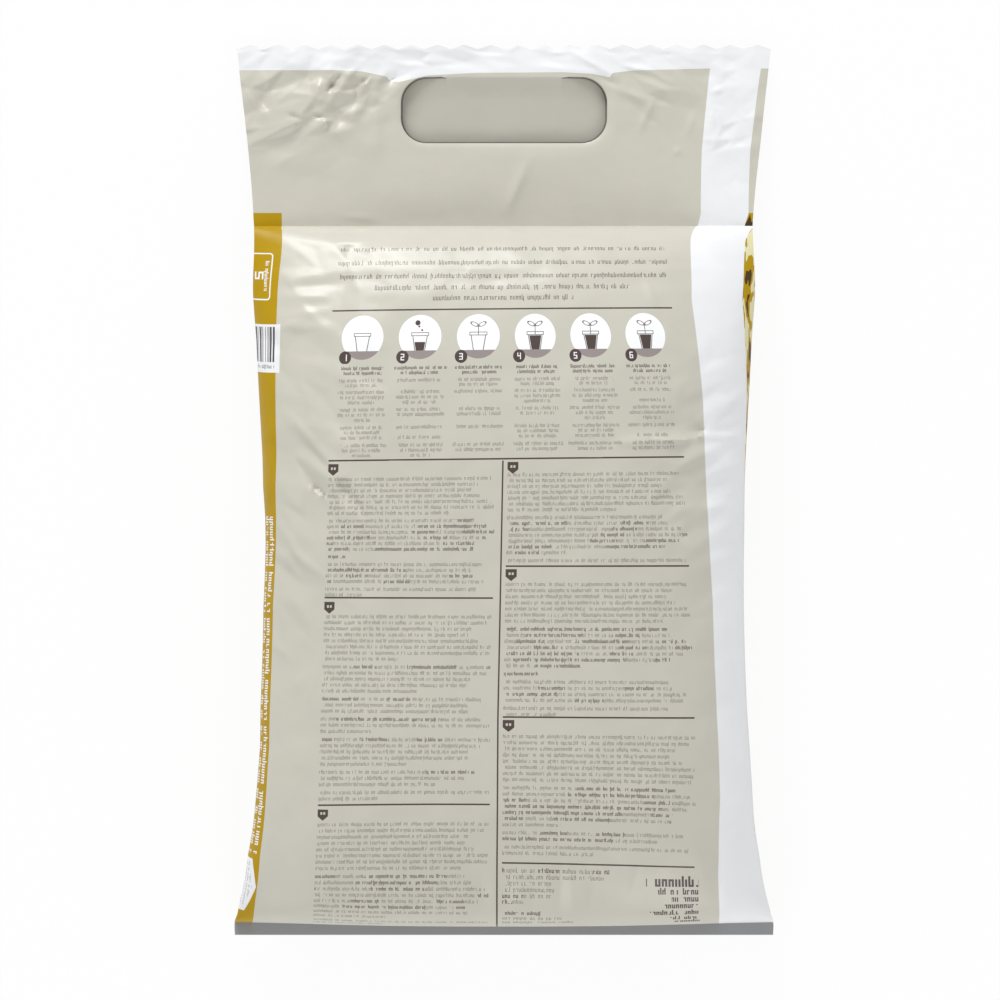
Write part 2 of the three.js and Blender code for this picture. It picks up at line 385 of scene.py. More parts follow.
HEADER_CREASES = [
    # beside the left end of the slot
    ((-134, 418), (-107, 431), 3.5, 1.9),
    ((-126, 414), (-104, 424), 5, -1.2),
    ((-114, 434.5), (-107, 431.5), 1.6, -1.8),
    ((-97, 434), (-87, 422), 3, 1.3),
    ((-137, 448), (-127, 434), 2.5, 1.4),
    ((-132, 446), (-124, 436), 3, -1.2),
    ((-122, 407), (-110, 413), 4, 0.9),
    ((-68, 438), (-67, 414), 5, 0.9),
    ((-63, 441), (-55, 449), 2, 0.8),
    ((-84, 380), (-64, 376.5), 3, 0.7),
    # the tucks above both ends of the slot
    ((-66, 451), (-50, 456), 2.2, -1.6),
    ((-100, 459), (-62, 452), 2.5, 0.9),
    ((48, 455), (60, 450), 2.2, -1.6),
    ((19, 460), (52, 456), 2, 0.9),
    ((37, 467), (56, 456), 1.8, 1.1),
    # beside the right end of the slot
    ((62, 460.5), (78, 457), 1.8, 1.3),
    ((78, 457), (88, 451), 2, 1.1),
    ((66, 446), (80, 440), 2.4, 1.0),
    ((72, 426), (79, 442), 2.2, 1.2),
    ((58, 444), (59, 424), 3, 0.7),
    ((97, 423), (100, 434), 2, 0.7),
    ((90, 413), (93, 416), 2, 0.8),
    ((109, 438), (111, 428), 1.6, 0.9),
    ((110, 446), (116, 448), 1.6, 0.9),
    ((2, 384), (13, 410), 4, 1.4),
    ((112, 420), (122, 398), 5, -0.8),
]

# Patches of crumpled film, where flat facets meet at sharp folds: the lattice of a patch goes on past its
# reach, and its corners lie off their places by up to a share of a facet
LATTICE_REACH = 2.4
LATTICE_UNEVENNESS = 0.38
CRUMPLES = {
    "header": [
        dict(at=(-112, 440), reach=(38, 22), facet=(10, 6), turned=24, height=1.7, seed=4),
        dict(at=(-86, 448), reach=(26, 14), facet=(7, 4.5), turned=50, height=1.2, seed=31),
        dict(at=(84, 447), reach=(30, 15), facet=(10, 5), turned=-32, height=1.0, seed=9),
        dict(at=(122, 436), reach=(12, 30), facet=(8, 5), turned=40, height=0.8, seed=52),
        dict(at=(0, 463), reach=(90, 8), facet=(12, 4.5), turned=-8, height=0.6, seed=12),
    ],
    "pouch": [
        dict(at=(-100, 320), reach=(28, 60), facet=(17, 9), turned=-28, height=1.6, seed=5),
        dict(at=(-104, 235), reach=(28, 50), facet=(16, 8), turned=-48, height=2.2, seed=21),
        dict(at=(110, 245), reach=(24, 60), facet=(13, 6), turned=25, height=1.2, seed=17),
        dict(at=(-108, 120), reach=(16, 70), facet=(20, 8), turned=70, height=0.7, seed=30),
        dict(at=(112, 110), reach=(16, 70), facet=(20, 8), turned=-70, height=0.5, seed=33),
        dict(at=(0, 356), reach=(110, 16), facet=(40, 4), turned=2, height=0.35, seed=40),
        dict(at=(0, 26), reach=(120, 16), facet=(24, 7), turned=90, height=0.4, seed=41),
    ],
}


def creasing(creases, x, y):
    """What creases add to the height at places of the back panel."""
    total = np.zeros_like(x)
    for (x0, y0), (x1, y1), width, height in creases:
        along = np.array([x1 - x0, y1 - y0], float)
        share = ((x - x0) * along[0] + (y - y0) * along[1]) / (along @ along)
        middle = np.clip(share, 0, 1)
        distance = np.hypot(x - x0 - middle * along[0], y - y0 - middle * along[1])
        rounding = CREASE_ROUNDING * width
        crest = np.sqrt(distance**2 + rounding**2) - rounding
        taper = mix(CREASE_ENDS, 1, np.sin(math.pi * middle))
        total += height * taper * np.exp(-CREASE_FALL * crest / width)
    return total


def crumpling(x, y, at, reach, facet, turned, height, seed):
    """Flat facets of one patch of crumpled film, from a lattice of uneven corners."""
    random = np.random.default_rng(seed)
    turn = math.radians(turned)
    steps = [math.ceil(LATTICE_REACH * max(reach) / size) for size in facet]
    rows, columns = 2 * steps[1] + 1, 2 * steps[0] + 1
    uneven = random.uniform(-LATTICE_UNEVENNESS, LATTICE_UNEVENNESS, (rows, columns, 2))
    along = (np.arange(columns)[None, :] - steps[0] + uneven[..., 0]) * facet[0]
    across = (np.arange(rows)[:, None] - steps[1] + uneven[..., 1]) * facet[1]
    corner_x = at[0] + along * math.cos(turn) - across * math.sin(turn)
    corner_y = at[1] + along * math.sin(turn) + across * math.cos(turn)
    far = ((corner_x - at[0]) / reach[0]) ** 2 + ((corner_y - at[1]) / reach[1]) ** 2
    corner_z = height * random.normal(size=far.shape) * np.exp(-far)
    corners = np.stack([corner_x, corner_y, corner_z], axis=-1)
    total = np.zeros_like(x)
    for row in range(rows - 1):
        for column in range(columns - 1):
            square = [(0, 0), (0, 1), (1, 1), (1, 0)]
            a, b, c, d = (corners[row + down, column + right] for down, right in square)
            halves = [(a, b, c), (a, c, d)] if (row + column) % 2 else [(a, b, d), (b, c, d)]
            for half in halves:
                add_facet(total, x, y, *half)
    return total


def add_facet(total, x, y, a, b, c):
    """Adds the height of a triangle to the places that it covers."""
    turning = (b[0] - a[0]) * (c[1] - a[1]) - (c[0] - a[0]) * (b[1] - a[1])
    reach = max(abs(b[0] - a[0]), abs(c[0] - a[0]), abs(b[1] - a[1]), abs(c[1] - a[1]))
    close = (np.abs(x - a[0]) <= reach) & (np.abs(y - a[1]) <= reach)
    if turning == 0 or not close.any():
        return
    from_x, from_y = x[close] - a[0], y[close] - a[1]
    share_b = (from_x * (c[1] - a[1]) - from_y * (c[0] - a[0])) / turning
    share_c = (from_y * (b[0] - a[0]) - from_x * (b[1] - a[1])) / turning
    covered = (share_b >= 0) & (share_c >= 0) & (share_b + share_c < 1)
    height = a[2] + share_b * (b[2] - a[2]) + share_c * (c[2] - a[2])
    total[close] = np.where(covered, height, total[close])


def slackness(x, y):
    """Broad soft waves of the header, which nothing holds flat."""
    wave = 0.7 * np.sin(x / 21 + 0.6) * np.sin(y / 17 + 1.1) + 0.5 * np.sin(x / 37 - y / 23)
    edge = 0.5 * np.sin(x / 6.8 + 0.9 * np.sin(x / 19)) * ease(BAG_LENGTH - 22, BAG_LENGTH - 4, y)
    return (wave + edge) * ease(0, 26, y - NECK_AT)


def lumpiness(x, y):
    """Soft lumps of the compost behind the film."""
    broad = 0.45 * np.sin(x / 11.3 + 1.3 * np.sin(y / 19)) * np.sin(y / 13.1 + 1.1 * np.sin(x / 23))
    fine = 0.16 * np.sin(x / 4.9 + np.sin(y / 7)) * np.sin(y / 5.7 + np.sin(x / 9))
    return broad + fine


def from_slot(x, y):
    """How far places lie outside the outline of the hand slot, negative inside it."""
    out_x = np.abs(x) - (SLOT_LENGTH / 2 - SLOT_CORNER)
    out_y = np.abs(y - SLOT_AT) - (SLOT_WIDTH / 2 - SLOT_CORNER)
    inner = np.minimum(np.maximum(out_x, out_y), 0)
    return np.hypot(np.maximum(out_x, 0), np.maximum(out_y, 0)) + inner - SLOT_CORNER


def header_relief(x, y):
    """Height that creases, slack and the slot's lip give the header."""
    outside = np.maximum(from_slot(x, y), 0)
    calm = ease(0, CALM_WIDTH, outside)
    curl = LIP_DEPTH * np.exp(-outside / LIP_WIDTH) * ease(-2, 12, SLOT_AT + SLOT_WIDTH / 2 - y)
    creases = creasing(HEADER_CREASES, x, y)
    creases += sum(crumpling(x, y, **patch) for patch in CRUMPLES["header"])
    return creases * mix(0.25, 1, calm) + slackness(x, y) * mix(0.3, 1, calm) - curl


def pouch_relief(x, y):
    """Height that creases and the compost behind the film give the pouch."""
    crumples = sum(crumpling(x, y, **patch) for patch in CRUMPLES["pouch"])
    return creasing(POUCH_CREASES, x, y) + crumples + lumpiness(x, y)


# How much further in the sides lie than the outline: a place along the bag, the left and the right side
SIDES_DRAWN_IN = [
    (7, 0, 0),
    (12, 0.9, 0.8),
    (23, 0.5, 0.8),
    (44, -0.4, 0),
    (65, 0.5, 0.5),
    (80, 1.0, 0.5),
    (101, 1.5, 0.6),
    (122, 0.6, 0.9),
    (174, 0.3, 0.7),
    (206, 1.5, 0.6),
    (221, 1.7, 0.8),
    (237, 1.2, 1.4),
    (253, 1.6, 1.6),
    (315, 1.5, 1.5),
    (336, 0.6, 0.6),
    (357, 0, 0),
    (378, -0.9, -0.1),
    (420, -0.8, -0.9),
    (451, -1.3, -1.1),
    (471, -1.0, -1.0),
]


def draw_sides_in(shape, points):
    """Moves the sides of a panel to where they lie, and the film beside them with them."""
    at, left, right = np.array(SIDES_DRAWN_IN).T
    x, y = points[..., 0], points[..., 1]
    drawn = np.where(x < 0, np.interp(y, at, left), np.interp(y, at, right))
    points[..., 0] -= np.sign(x) * drawn * (np.abs(x) / shape.half(y)) ** 5


def panel_points(shape, rows, columns, back):
    """The points of one panel, row by row."""
    places, _ = shape.row_places(rows)
    points = np.zeros((len(places), columns + 1, 3))
    across = np.linspace(-1, 1, columns + 1)
    for n, y in enumerate(places):
        if FIN_LENGTH < y < NECK_AT:
            x, z = shape.even_section(shape.back if back else shape.front, y, columns)
        else:
            x = across * shape.half(y)
            z = np.full(columns + 1, shape.fin_height if y <= FIN_LENGTH else shape.header(y))
            z = z + HALF_GAP * (1 if back else -1) * (1 - np.abs(across) ** 8)
        points[n] = np.stack([x, np.full_like(x, y), z], axis=1)
    draw_sides_in(shape, points)
    header = places >= NECK_AT
    x, y, _ = np.moveaxis(points[header], 2, 0)
    points[header, :, 2] += header_relief(x, y) * ease(0, 6, y - NECK_AT)
    pouch = (places > FIN_LENGTH) & (places < NECK_AT)
    if back:
        x, y, z = np.moveaxis(points[pouch], 2, 0)
        from_weld = (y - FIN_LENGTH) / shape.foot_reach
        lean = shape.foot_overhang * from_weld * np.exp(1 - from_weld)
        share = np.clip((z - shape.side(y)) / (shape.crown(y) - shape.side(y)), 0, 1)
        near_weld = ease(0, 12, np.minimum(y - FIN_LENGTH, NECK_AT - y))
        points[pouch, :, 1] -= lean * share
        points[pouch, :, 2] += np.sqrt(share) * pouch_relief(x, y) * near_weld
    return points


# How much further round the back panel the film reaches than half of the tube, along the film: the
# fill pulls more film to the back than to the front. Each row is a place along the film, and the
# stretch of the left and the right half.
FILM_DRAWN = [
    (0, 1.0, 1.0),
    (45, 1.01, 1.02),
    (75, 1.026, 1.027),
    (115, 1.041, 1.012),
    (165, 1.048, 1.018),
    (220, 1.05, 1.03),
    (271, 1.062, 1.069),
    (297, 1.072, 1.086),
    (323, 1.07, 1.095),
    (378, 1.066, 1.137),
    (417, 1.055, 1.09),
    (431, 1.047, 1.055),
    (445, 1.05, 1.025),
    (479, 1.03, 1.043),
    (516, 1.01, 1.037),
    (535, 1.0, 1.03),
]

# How the film has shifted over the fill: its middle to the right, its right half up, both sides up
FILM_SHIFT = [
    (0, 3.1, 0, 0),
    (81, 3.1, 1.1, 2.4),
    (113, 2.9, 0.9, 2.1),
    (158, 2.7, 0.6, 0.4),
    (237, 1.1, 0, 0),
    (292, 0, -1.13, 0),
    (373, 0, -0.94, 0),
    (445, 0, 0, 0),
    (535, 0, 0, 0),
]


def film_places(across, along, flat_half, back):
    """Places on the flat film, from places across a panel from -1 to 1 and along the film."""
    drawn = np.array(FILM_DRAWN).T
    shift = np.array(FILM_SHIFT).T
    left = np.interp(along, drawn[0], drawn[1])
    right = np.interp(along, drawn[0], drawn[2])
    side = flat_half * np.where(across < 0, left, right)
    if not back:
        return np.sign(across) * (2 * flat_half - np.abs(across) * (2 * flat_half - side)), along
    middle, tilt, rise = (np.interp(along, shift[0], column) for column in shift[1:])
    hundreds = across * flat_half / 100
    round_film = across * side + middle * (1 - across**2)
    inside = 1 - np.abs(across) ** 12
    return round_film, along + (tilt * hundreds + rise * hundreds**2) * inside


def deselect_all():
    for item in bpy.context.selected_objects:
        item.select_set(False)


def select_only(active, *others):
    """Selects these objects alone, and makes the first one active."""
    deselect_all()
    for item in (active, *others):
        item.select_set(True)
    bpy.context.view_layer.objects.active = active


def bag_settings():
    return bpy.context.scene.compost_bag_sizes


def bag_colours():
    return bpy.context.scene.compost_bag_colours


def film_map(mesh):
    """Where the corners of a mesh's faces lie on the flat film, in metres."""
    film = np.zeros(len(mesh.loops) * 2, np.float32)
    mesh.uv_layers["film"].uv.foreach_get("vector", film)
    return film.reshape(-1, 2)


def set_teeth(points):
    """The zigzag of the cut edge, which fades out over the last rows of a panel."""
    columns = points.shape[1] - 1
    phase = np.arange(columns + 1) * CUT_EDGE_TEETH / columns
    notch = np.abs(phase - np.round(phase)) * 2
    for row in range(TOOTH_ROWS):
        points[-1 - row, :, 1] -= TOOTH_DEPTH * (1 - notch) * (1 - row / TOOTH_ROWS)


def add_panel(name, points, film_along, back):
    """One panel as a grid whose points are then put in place.

    Its UV map is the flat film in metres: along from the bottom edge, and round the tube from the middle
    of the back panel, so the middle of the front panel is half the tube away.
    """
    rows, columns = points.shape[0] - 1, points.shape[1] - 1
    deselect_all()
    bpy.ops.mesh.primitive_grid_add(
        x_subdivisions=columns, y_subdivisions=rows, size=1, calc_uvs=True
    )
    panel = bpy.context.object
    panel.name = name
    centred = points - np.array([0, BAG_LENGTH / 2, 0])
    panel.data.vertices.foreach_set("co", (centred * MM).ravel())
    layer = panel.data.uv_layers.active
    layer.name = "film"
    grid = np.zeros(len(panel.data.loops) * 2)
    layer.uv.foreach_get("vector", grid)
    grid = grid.reshape(-1, 2)
    across = 2 * grid[:, 0] - 1
    if not back:
        # The film map jumps at the front panel's middle, so each face keeps to its own side of it
        hand = np.repeat(np.sign(across.reshape(-1, 4).mean(axis=1)), 4)
        across = hand * np.maximum(np.abs(across), 1e-6)
    along = np.interp(grid[:, 1] * rows, np.arange(rows + 1), film_along)
    flat_half = bag_settings().flat_width / MM / 2
    round_film, along_film = film_places(across, along, flat_half, back)
    layer.uv.foreach_set("vector", (np.stack([round_film, along_film], axis=1) * MM).ravel())
    return panel


class COMPOST_OT_film_tube(bpy.types.Operator):
    """Makes the filled tube of film, welded at both ends"""

    bl_idname = "compost.film_tube"
    bl_label = "Film Tube"

    def execute(self, context):
        sizes = bag_settings()
        shape = Shape(sizes)
        _, film_along = shape.row_places(sizes.rows)
        panels = []
        for name, back in (("back_panel", True), ("front_panel", False)):
            points = panel_points(shape, sizes.rows, sizes.columns, back)
            if back:
                border = points.copy()
            else:
                points[0], points[-1] = border[0], border[-1]
                points[:, 0], points[:, -1] = border[:, 0], border[:, -1]
            set_teeth(points)
            panels.append(add_panel(name, points, film_along, back))
        bag = self.join(panels)
        bag.name = "film_bag"
        bag.data.name = "film_bag"
        return {"FINISHED"}

    def join(self, panels):
        """Both panels as one closed tube, with the front panel's faces turned down."""
        back, front = panels
        self.mark_inner(front)
        select_only(front)
        bpy.ops.object.mode_set(mode="EDIT")
        bpy.ops.mesh.select_all(action="SELECT")
        bpy.ops.mesh.flip_normals()
        bpy.ops.object.mode_set(mode="OBJECT")
        select_only(back, front)
        bpy.ops.object.join()
        bpy.ops.object.mode_set(mode="EDIT")
        bpy.ops.mesh.select_all(action="SELECT")
        bpy.ops.mesh.remove_doubles(threshold=0.02 * MM)
        bpy.ops.object.mode_set(mode="OBJECT")
        self.thin_front(back)
        return back

    def mark_inner(self, front):
        """Names the front panel's points, apart from its border and the seam of its film map."""
        sizes = bag_settings()
        number = np.arange((sizes.rows + 1) * (sizes.columns + 1))
        row, column = np.divmod(number, sizes.columns + 1)
        inner = (row > 1) & (row < sizes.rows - TOOTH_ROWS)
        inner &= (column > 1) & (column < sizes.columns - 1)
        inner &= np.abs(column - sizes.columns / 2) > 1
        marked = front.vertex_groups.new(name="inner_front")
        marked.add([int(n) for n in number[inner]], 1.0, "REPLACE")

    def thin_front(self, bag):
        """Fewer faces on the smooth front panel."""
        thin = bag.modifiers.new("thin", "DECIMATE")
        thin.ratio = (1 + FRONT_FACES_KEPT) / 2
        thin.vertex_group = "inner_front"
        bpy.ops.object.modifier_apply(modifier=thin.name)
        bag.vertex_groups.clear()


class COMPOST_OT_hand_slot(bpy.types.Operator):
    """Punches the hand slot through the header and lets its flap hang behind it"""

    bl_idname = "compost.hand_slot"
    bl_label = "Hand Slot"

    def execute(self, context):
        bag = bpy.data.objects["film_bag"]
        cutter = self.cutter()
        select_only(bag)
        punch = bag.modifiers.new("punch", "BOOLEAN")
        punch.operation = "DIFFERENCE"
        punch.solver = "EXACT"
        punch.object = cutter
        bpy.ops.object.modifier_apply(modifier=punch.name)
        bpy.data.objects.remove(cutter)
        self.lower_flap(bag)
        self.map_cut(bag)
        bpy.ops.object.shade_smooth_by_angle(angle=math.radians(50))
        return {"FINISHED"}

    def cutter(self):
        """A thin wall along the punched line, which leaves out the flap's hinge."""
        deselect_all()
        at = (0, (SLOT_AT - BAG_LENGTH / 2) * MM, -CUT_DEPTH * MM / 2)
        bpy.ops.mesh.primitive_plane_add(size=1, location=at)
        bpy.ops.transform.resize(value=(SLOT_LENGTH * MM, SLOT_WIDTH * MM, 1))
        cutter = bpy.context.object
        bpy.ops.object.transform_apply(location=True, rotation=True, scale=True)
        bpy.ops.object.mode_set(mode="EDIT")
        bpy.ops.mesh.select_all(action="SELECT")
        bpy.ops.mesh.bevel(affect="VERTICES", offset=SLOT_CORNER * MM, segments=SLOT_CORNER_STEPS)
        for side in (-1, 1):
            bpy.ops.mesh.select_all(action="SELECT")
            bpy.ops.mesh.bisect(plane_co=(side * HINGE_LENGTH * MM / 2, 0, 0), plane_no=(1, 0, 0))
        bpy.ops.mesh.select_all(action="SELECT")
        bpy.ops.mesh.delete(type="ONLY_FACE")
        mesh = bmesh.from_edit_mesh(cutter.data)
        top = (SLOT_AT + SLOT_WIDTH / 2 - BAG_LENGTH / 2) * MM
        near = 0.1 * MM
        reach = HINGE_LENGTH * MM / 2
        for edge in list(mesh.edges):
            places = [corner.co for corner in edge.verts]
            on_top = all(abs(place.y - top) < near for place in places)
            across = all(abs(place.x) < reach + near for place in places)
            upright = abs(places[0].x - places[1].x) < near
            if across and (on_top or upright):
                mesh.edges.remove(edge)
        bmesh.update_edit_mesh(cutter.data)
        bpy.ops.mesh.select_all(action="SELECT")
        bpy.ops.mesh.extrude_region_move(
            TRANSFORM_OT_translate={"value": (0, 0, CUT_DEPTH * MM)}
        )
        bpy.ops.mesh.select_all(action="SELECT")
        bpy.ops.mesh.normals_make_consistent(inside=False)
        bpy.ops.object.mode_set(mode="OBJECT")
        wall = cutter.modifiers.new("wall", "SOLIDIFY")
        wall.thickness = CUT_WIDTH * MM
        wall.offset = 0
        bpy.ops.object.modifier_apply(modifier=wall.name)
        return cutter

    def lower_flap(self, bag):
        """Lets the flap sink from its hinge, with its free edges tucked under the header."""
        mesh = bag.data
        places = np.zeros(len(mesh.vertices) * 3)
        mesh.vertices.foreach_get("co", places)
        places = places.reshape(-1, 3)
        x = places[:, 0] / MM
        y = places[:, 1] / MM + BAG_LENGTH / 2
        inside = from_slot(x, y) < 0
        aside = ease(HINGE_LENGTH / 2, SLOT_LENGTH / 2, np.abs(x))
        down = np.clip((SLOT_AT + SLOT_WIDTH / 2 - y) / SLOT_WIDTH, 0, 1)
        held = (1 - aside) * (1 - down) ** 1.6
        drop = bag_settings().flap_drop / MM * (1 - held)
        out_x = x - np.clip(x, SLOT_CORNER - SLOT_LENGTH / 2, SLOT_LENGTH / 2 - SLOT_CORNER)
        up = y - SLOT_AT
        out_y = up - np.clip(up, SLOT_CORNER - SLOT_WIDTH / 2, SLOT_WIDTH / 2 - SLOT_CORNER)
        out = np.hypot(out_x, out_y)
        tuck = np.minimum(0.7 * np.maximum(drop - 0.3, 0), TUCK) * (out / SLOT_CORNER) ** 4
        places[inside, 0] += (out_x * tuck / np.maximum(out, 1))[inside] * MM
        places[inside, 1] += (out_y * tuck / np.maximum(out, 1))[inside] * MM
        places[inside, 2] -= drop[inside] * MM
        mesh.vertices.foreach_set("co", places.ravel())
        mesh.update()

    def map_cut(self, bag):
        """Gives the faces of the cut itself, which have no film map, a place on the header's ground."""
        film = film_map(bag.data)
        film[np.abs(film).max(axis=1) < 1e-6] = (0, HEADER_FILM_PLACE * MM)
        bag.data.uv_layers["film"].uv.foreach_set("vector", film.ravel())


# The print, in millimetres of flat film: round from the middle of the back panel, along from the
# bottom edge
HEADER_FILM_PLACE = 480
GOLD_FROM = -133.0
GOLD_TOP = 445.4
WHITE_FROM = 115.4
WHITE_TO_HEADER = 143.3
WHITE_TO_POUCH = 150.5
BAND_FROM = 521.4
NECK_FILM = 438.5
TEXT_LEFT = -98.2
TEXT_RIGHT = 102.2
COLUMN_RULE = -0.6
LEFT_COLUMN_TO = -4.6
RIGHT_COLUMN_FROM = 2.0
RULE_WIDTH = 0.85
STEP_PITCH = 32.7
STEP_MIDDLE = (TEXT_LEFT + TEXT_RIGHT) / 2
DISC_AT = 357.3
DISC_RADIUS = 12.0
VOLUME_BADGE_AT = (-148.5, 393.0)
LABEL_LEFT = -168.0
LABEL_RIGHT = -130.2
LABEL_LOW = 339.2
LABEL_TOP = 365.2
TAG_AT = 68.5

# Lines between the zones of print, round the film and along it
ZONES_LEFT = -100.5
ZONES_RIGHT = 104.5
STEPS_LEFT = -95.6
STEPS_RIGHT = 99.6
LEFT_COLUMN_END = -2.6
RIGHT_COLUMN_START = 0.9
BIG_WORDS_START = 70
INTRO_LOW = 370.7
PICTURES_LOW = 342.6
STEPS_LOW = 293.8
COLUMNS_TOP = 291.4
FOOT_TOP = 81.4
FOOT_LOW = 40
COLUMNS_LOW = 30

# The streaks of a picture on the gold past the white strip: where they lie, how narrow they are round and
# along the film, the noise above and below which they are drawn, and their colours
PICTURE_FROM = 300.0
PICTURE_TO = 182.0
STREAK_SCALE = (0.16, 0.045)
STREAK_ABOVE = 0.56
STREAK_BELOW = 0.44
STREAK_PALE = (0.72, 0.68, 0.42)
STREAK_DARK = (0.07, 0.045, 0.02)

# The strokes in place of lettering. For the size of the letters: how far apart the stems are, how wide
# they are, how much wider bold ones are, and how far tall and long ones stand out.
STEM_PITCH = 0.42
STEM_WIDTH = 0.125
BOLDER_BY = 0.1
ASCENT = 0.42

# Shares of the stems that are tall, long or left out, of the pairs of stems with a bar at the top or the
# bottom, and of the third cells that end a word
TALL_STEMS = 0.16
LONG_STEMS = 0.06
STEMS_LEFT_OUT = 0.14
TOP_BARS = 0.5
LOW_BARS = 0.38
WORD_ENDS = 0.45

# Sizes of the letters, the space between two paragraphs, the length of the stretches that are either bold
# or plain, and how far a zone goes on past the rule below it
INTRO_SIZE = 2.1
STEP_SIZE = 1.38
COLUMN_SIZE = 1.42
ADDRESS_SIZE = 1.7
STRIP_SIZE = 3.2
PARAGRAPH_GAP = 1.0
BOLD_STRETCH = 15.0
PAST_RULE = 1.7

# How far the edge of the white band at the top dips, as places round the film and depths
BAND_DIPS = [
    (-150, 0),
    (-94, 0),
    (-78, 0.6),
    (-63.9, 3.5),
    (-62.9, 5.9),
    (-56.5, 6.0),
    (-42, 2.8),
    (-15, 1.4),
    (34, 1.1),
    (50, 2.0),
    (58.4, 3.5),
    (59.2, 4.7),
    (61, 1.6),
    (72, 0.2),
    (115, -0.9),
    (150, -0.9),
]


class Wiring:
    """Adds and links the nodes of one tree."""

    def __init__(self, tree):
        self.tree = tree

    def feed(self, socket, value):
        if isinstance(value, bpy.types.NodeSocket):
            self.tree.links.new(value, socket)
        elif value is not None:
            socket.default_value = value

    def add(self, kind, *values, named=None, **settings):
        node = self.tree.nodes.new(kind)
        for name, value in settings.items():
            setattr(node, name, value)
        for socket, value in zip(node.inputs, values):
            self.feed(socket, value)
        for name, value in (named or {}).items():
            self.feed(node.inputs[name], value)
        return node

    def math(self, operation, *values):
        return self.add("ShaderNodeMath", *values, operation=operation).outputs[0]

    def plus(self, first, *others):
        for other in others:
            first = self.math("ADD", first, other)
        return first

    def times(self, first, *others):
        for other in others:
            first = self.math("MULTIPLY", first, other)
        return first

    def minus(self, first, second):
        return self.math("SUBTRACT", first, second)

    def above(self, value, limit):
        return self.math("GREATER_THAN", value, limit)

    def below(self, value, limit):
        return self.math("LESS_THAN", value, limit)

    def over(self, first, second):
        return self.math("DIVIDE", first, second)

    def least(self, first, second):
        return self.math("MINIMUM", first, second)

    def most(self, first, second):
        return self.math("MAXIMUM", first, second)

    def unsigned(self, value):
        return self.math("ABSOLUTE", value)

    def whole(self, value):
        """The whole number at or below a value."""
        return self.math("FLOOR", value)

    def either(self, first, *others):
        """1 where any of the masks is 1."""
        for other in others:
            first = self.most(first, other)
        return first

    def without(self, first, taken):
        """The first value where nothing is taken, and less of it where more is."""
        return self.times(first, self.minus(1.0, taken))

    def near(self, value, middle, reach):
        """1 where the value is less than reach away from the middle."""
        return self.math("COMPARE", value, middle, reach)

    def box(self, x, y, low, high):
        """1 inside a rectangle."""
        wide = self.near(x, (low[0] + high[0]) / 2, (high[0] - low[0]) / 2)
        return self.times(wide, self.near(y, (low[1] + high[1]) / 2, (high[1] - low[1]) / 2))

    def distance(self, x, y, middle):
        away_x = self.minus(x, middle[0])
        away_y = self.minus(y, middle[1])
        return self.math("SQRT", self.plus(self.times(away_x, away_x), self.times(away_y, away_y)))

    def rounded_box(self, x, y, middle, half, radius):
        """Distance outside a rectangle with round corners, negative inside it."""
        out_x = self.minus(self.unsigned(self.minus(x, middle[0])), half[0] - radius)
        out_y = self.minus(self.unsigned(self.minus(y, middle[1])), half[1] - radius)
        past = self.distance(self.most(out_x, 0.0), self.most(out_y, 0.0), (0.0, 0.0))
        inner = self.least(self.most(out_x, out_y), 0.0)
        return self.minus(self.plus(past, inner), radius)

    def chance(self, first, second):
        """A fixed random number from 0 to 1 for two numbers."""
        pair = self.add("ShaderNodeCombineXYZ", first, second)
        return self.add("ShaderNodeTexWhiteNoise", pair.outputs[0], noise_dimensions="2D").outputs[0]

    def colour(self, share, low, high, blend="MIX"):
        mixed = self.add("ShaderNodeMix", data_type="RGBA", blend_type=blend)
        for place, value in ((0, share), (6, low), (7, high)):
            self.feed(mixed.inputs[place], value)
        return mixed.outputs[2]

    def noise(self, place, scale, detail, dimensions="3D"):
        wanted = {"Vector": place, "Scale": scale, "Detail": detail}
        return self.add("ShaderNodeTexNoise", noise_dimensions=dimensions, named=wanted).outputs[0]

    def film_place(self):
        """Places round and along the flat film, in millimetres."""
        film = self.add("ShaderNodeUVMap", uv_map="film").outputs[0]
        place = self.add("ShaderNodeSeparateXYZ", film)
        return self.times(place.outputs[0], 1 / MM), self.times(place.outputs[1], 1 / MM)

    def curve(self, value, low, high, depth, points):
        """A line through points, read at a value between low and high."""
        share = self.over(self.minus(value, low), high - low)
        curve = self.add("ShaderNodeFloatCurve", 1.0, share)
        line = curve.mapping.curves[0]
        while len(line.points) < len(points):
            line.points.new(0.5, 0.5)
        for point, (place, height) in zip(line.points, points):
            point.location = ((place - low) / (high - low), height / depth)
            point.handle_type = "VECTOR"
        curve.mapping.use_clip = False
        curve.mapping.update()
        return self.times(curve.outputs[0], depth)


def ink(colour):
    return (*colour, 1.0)


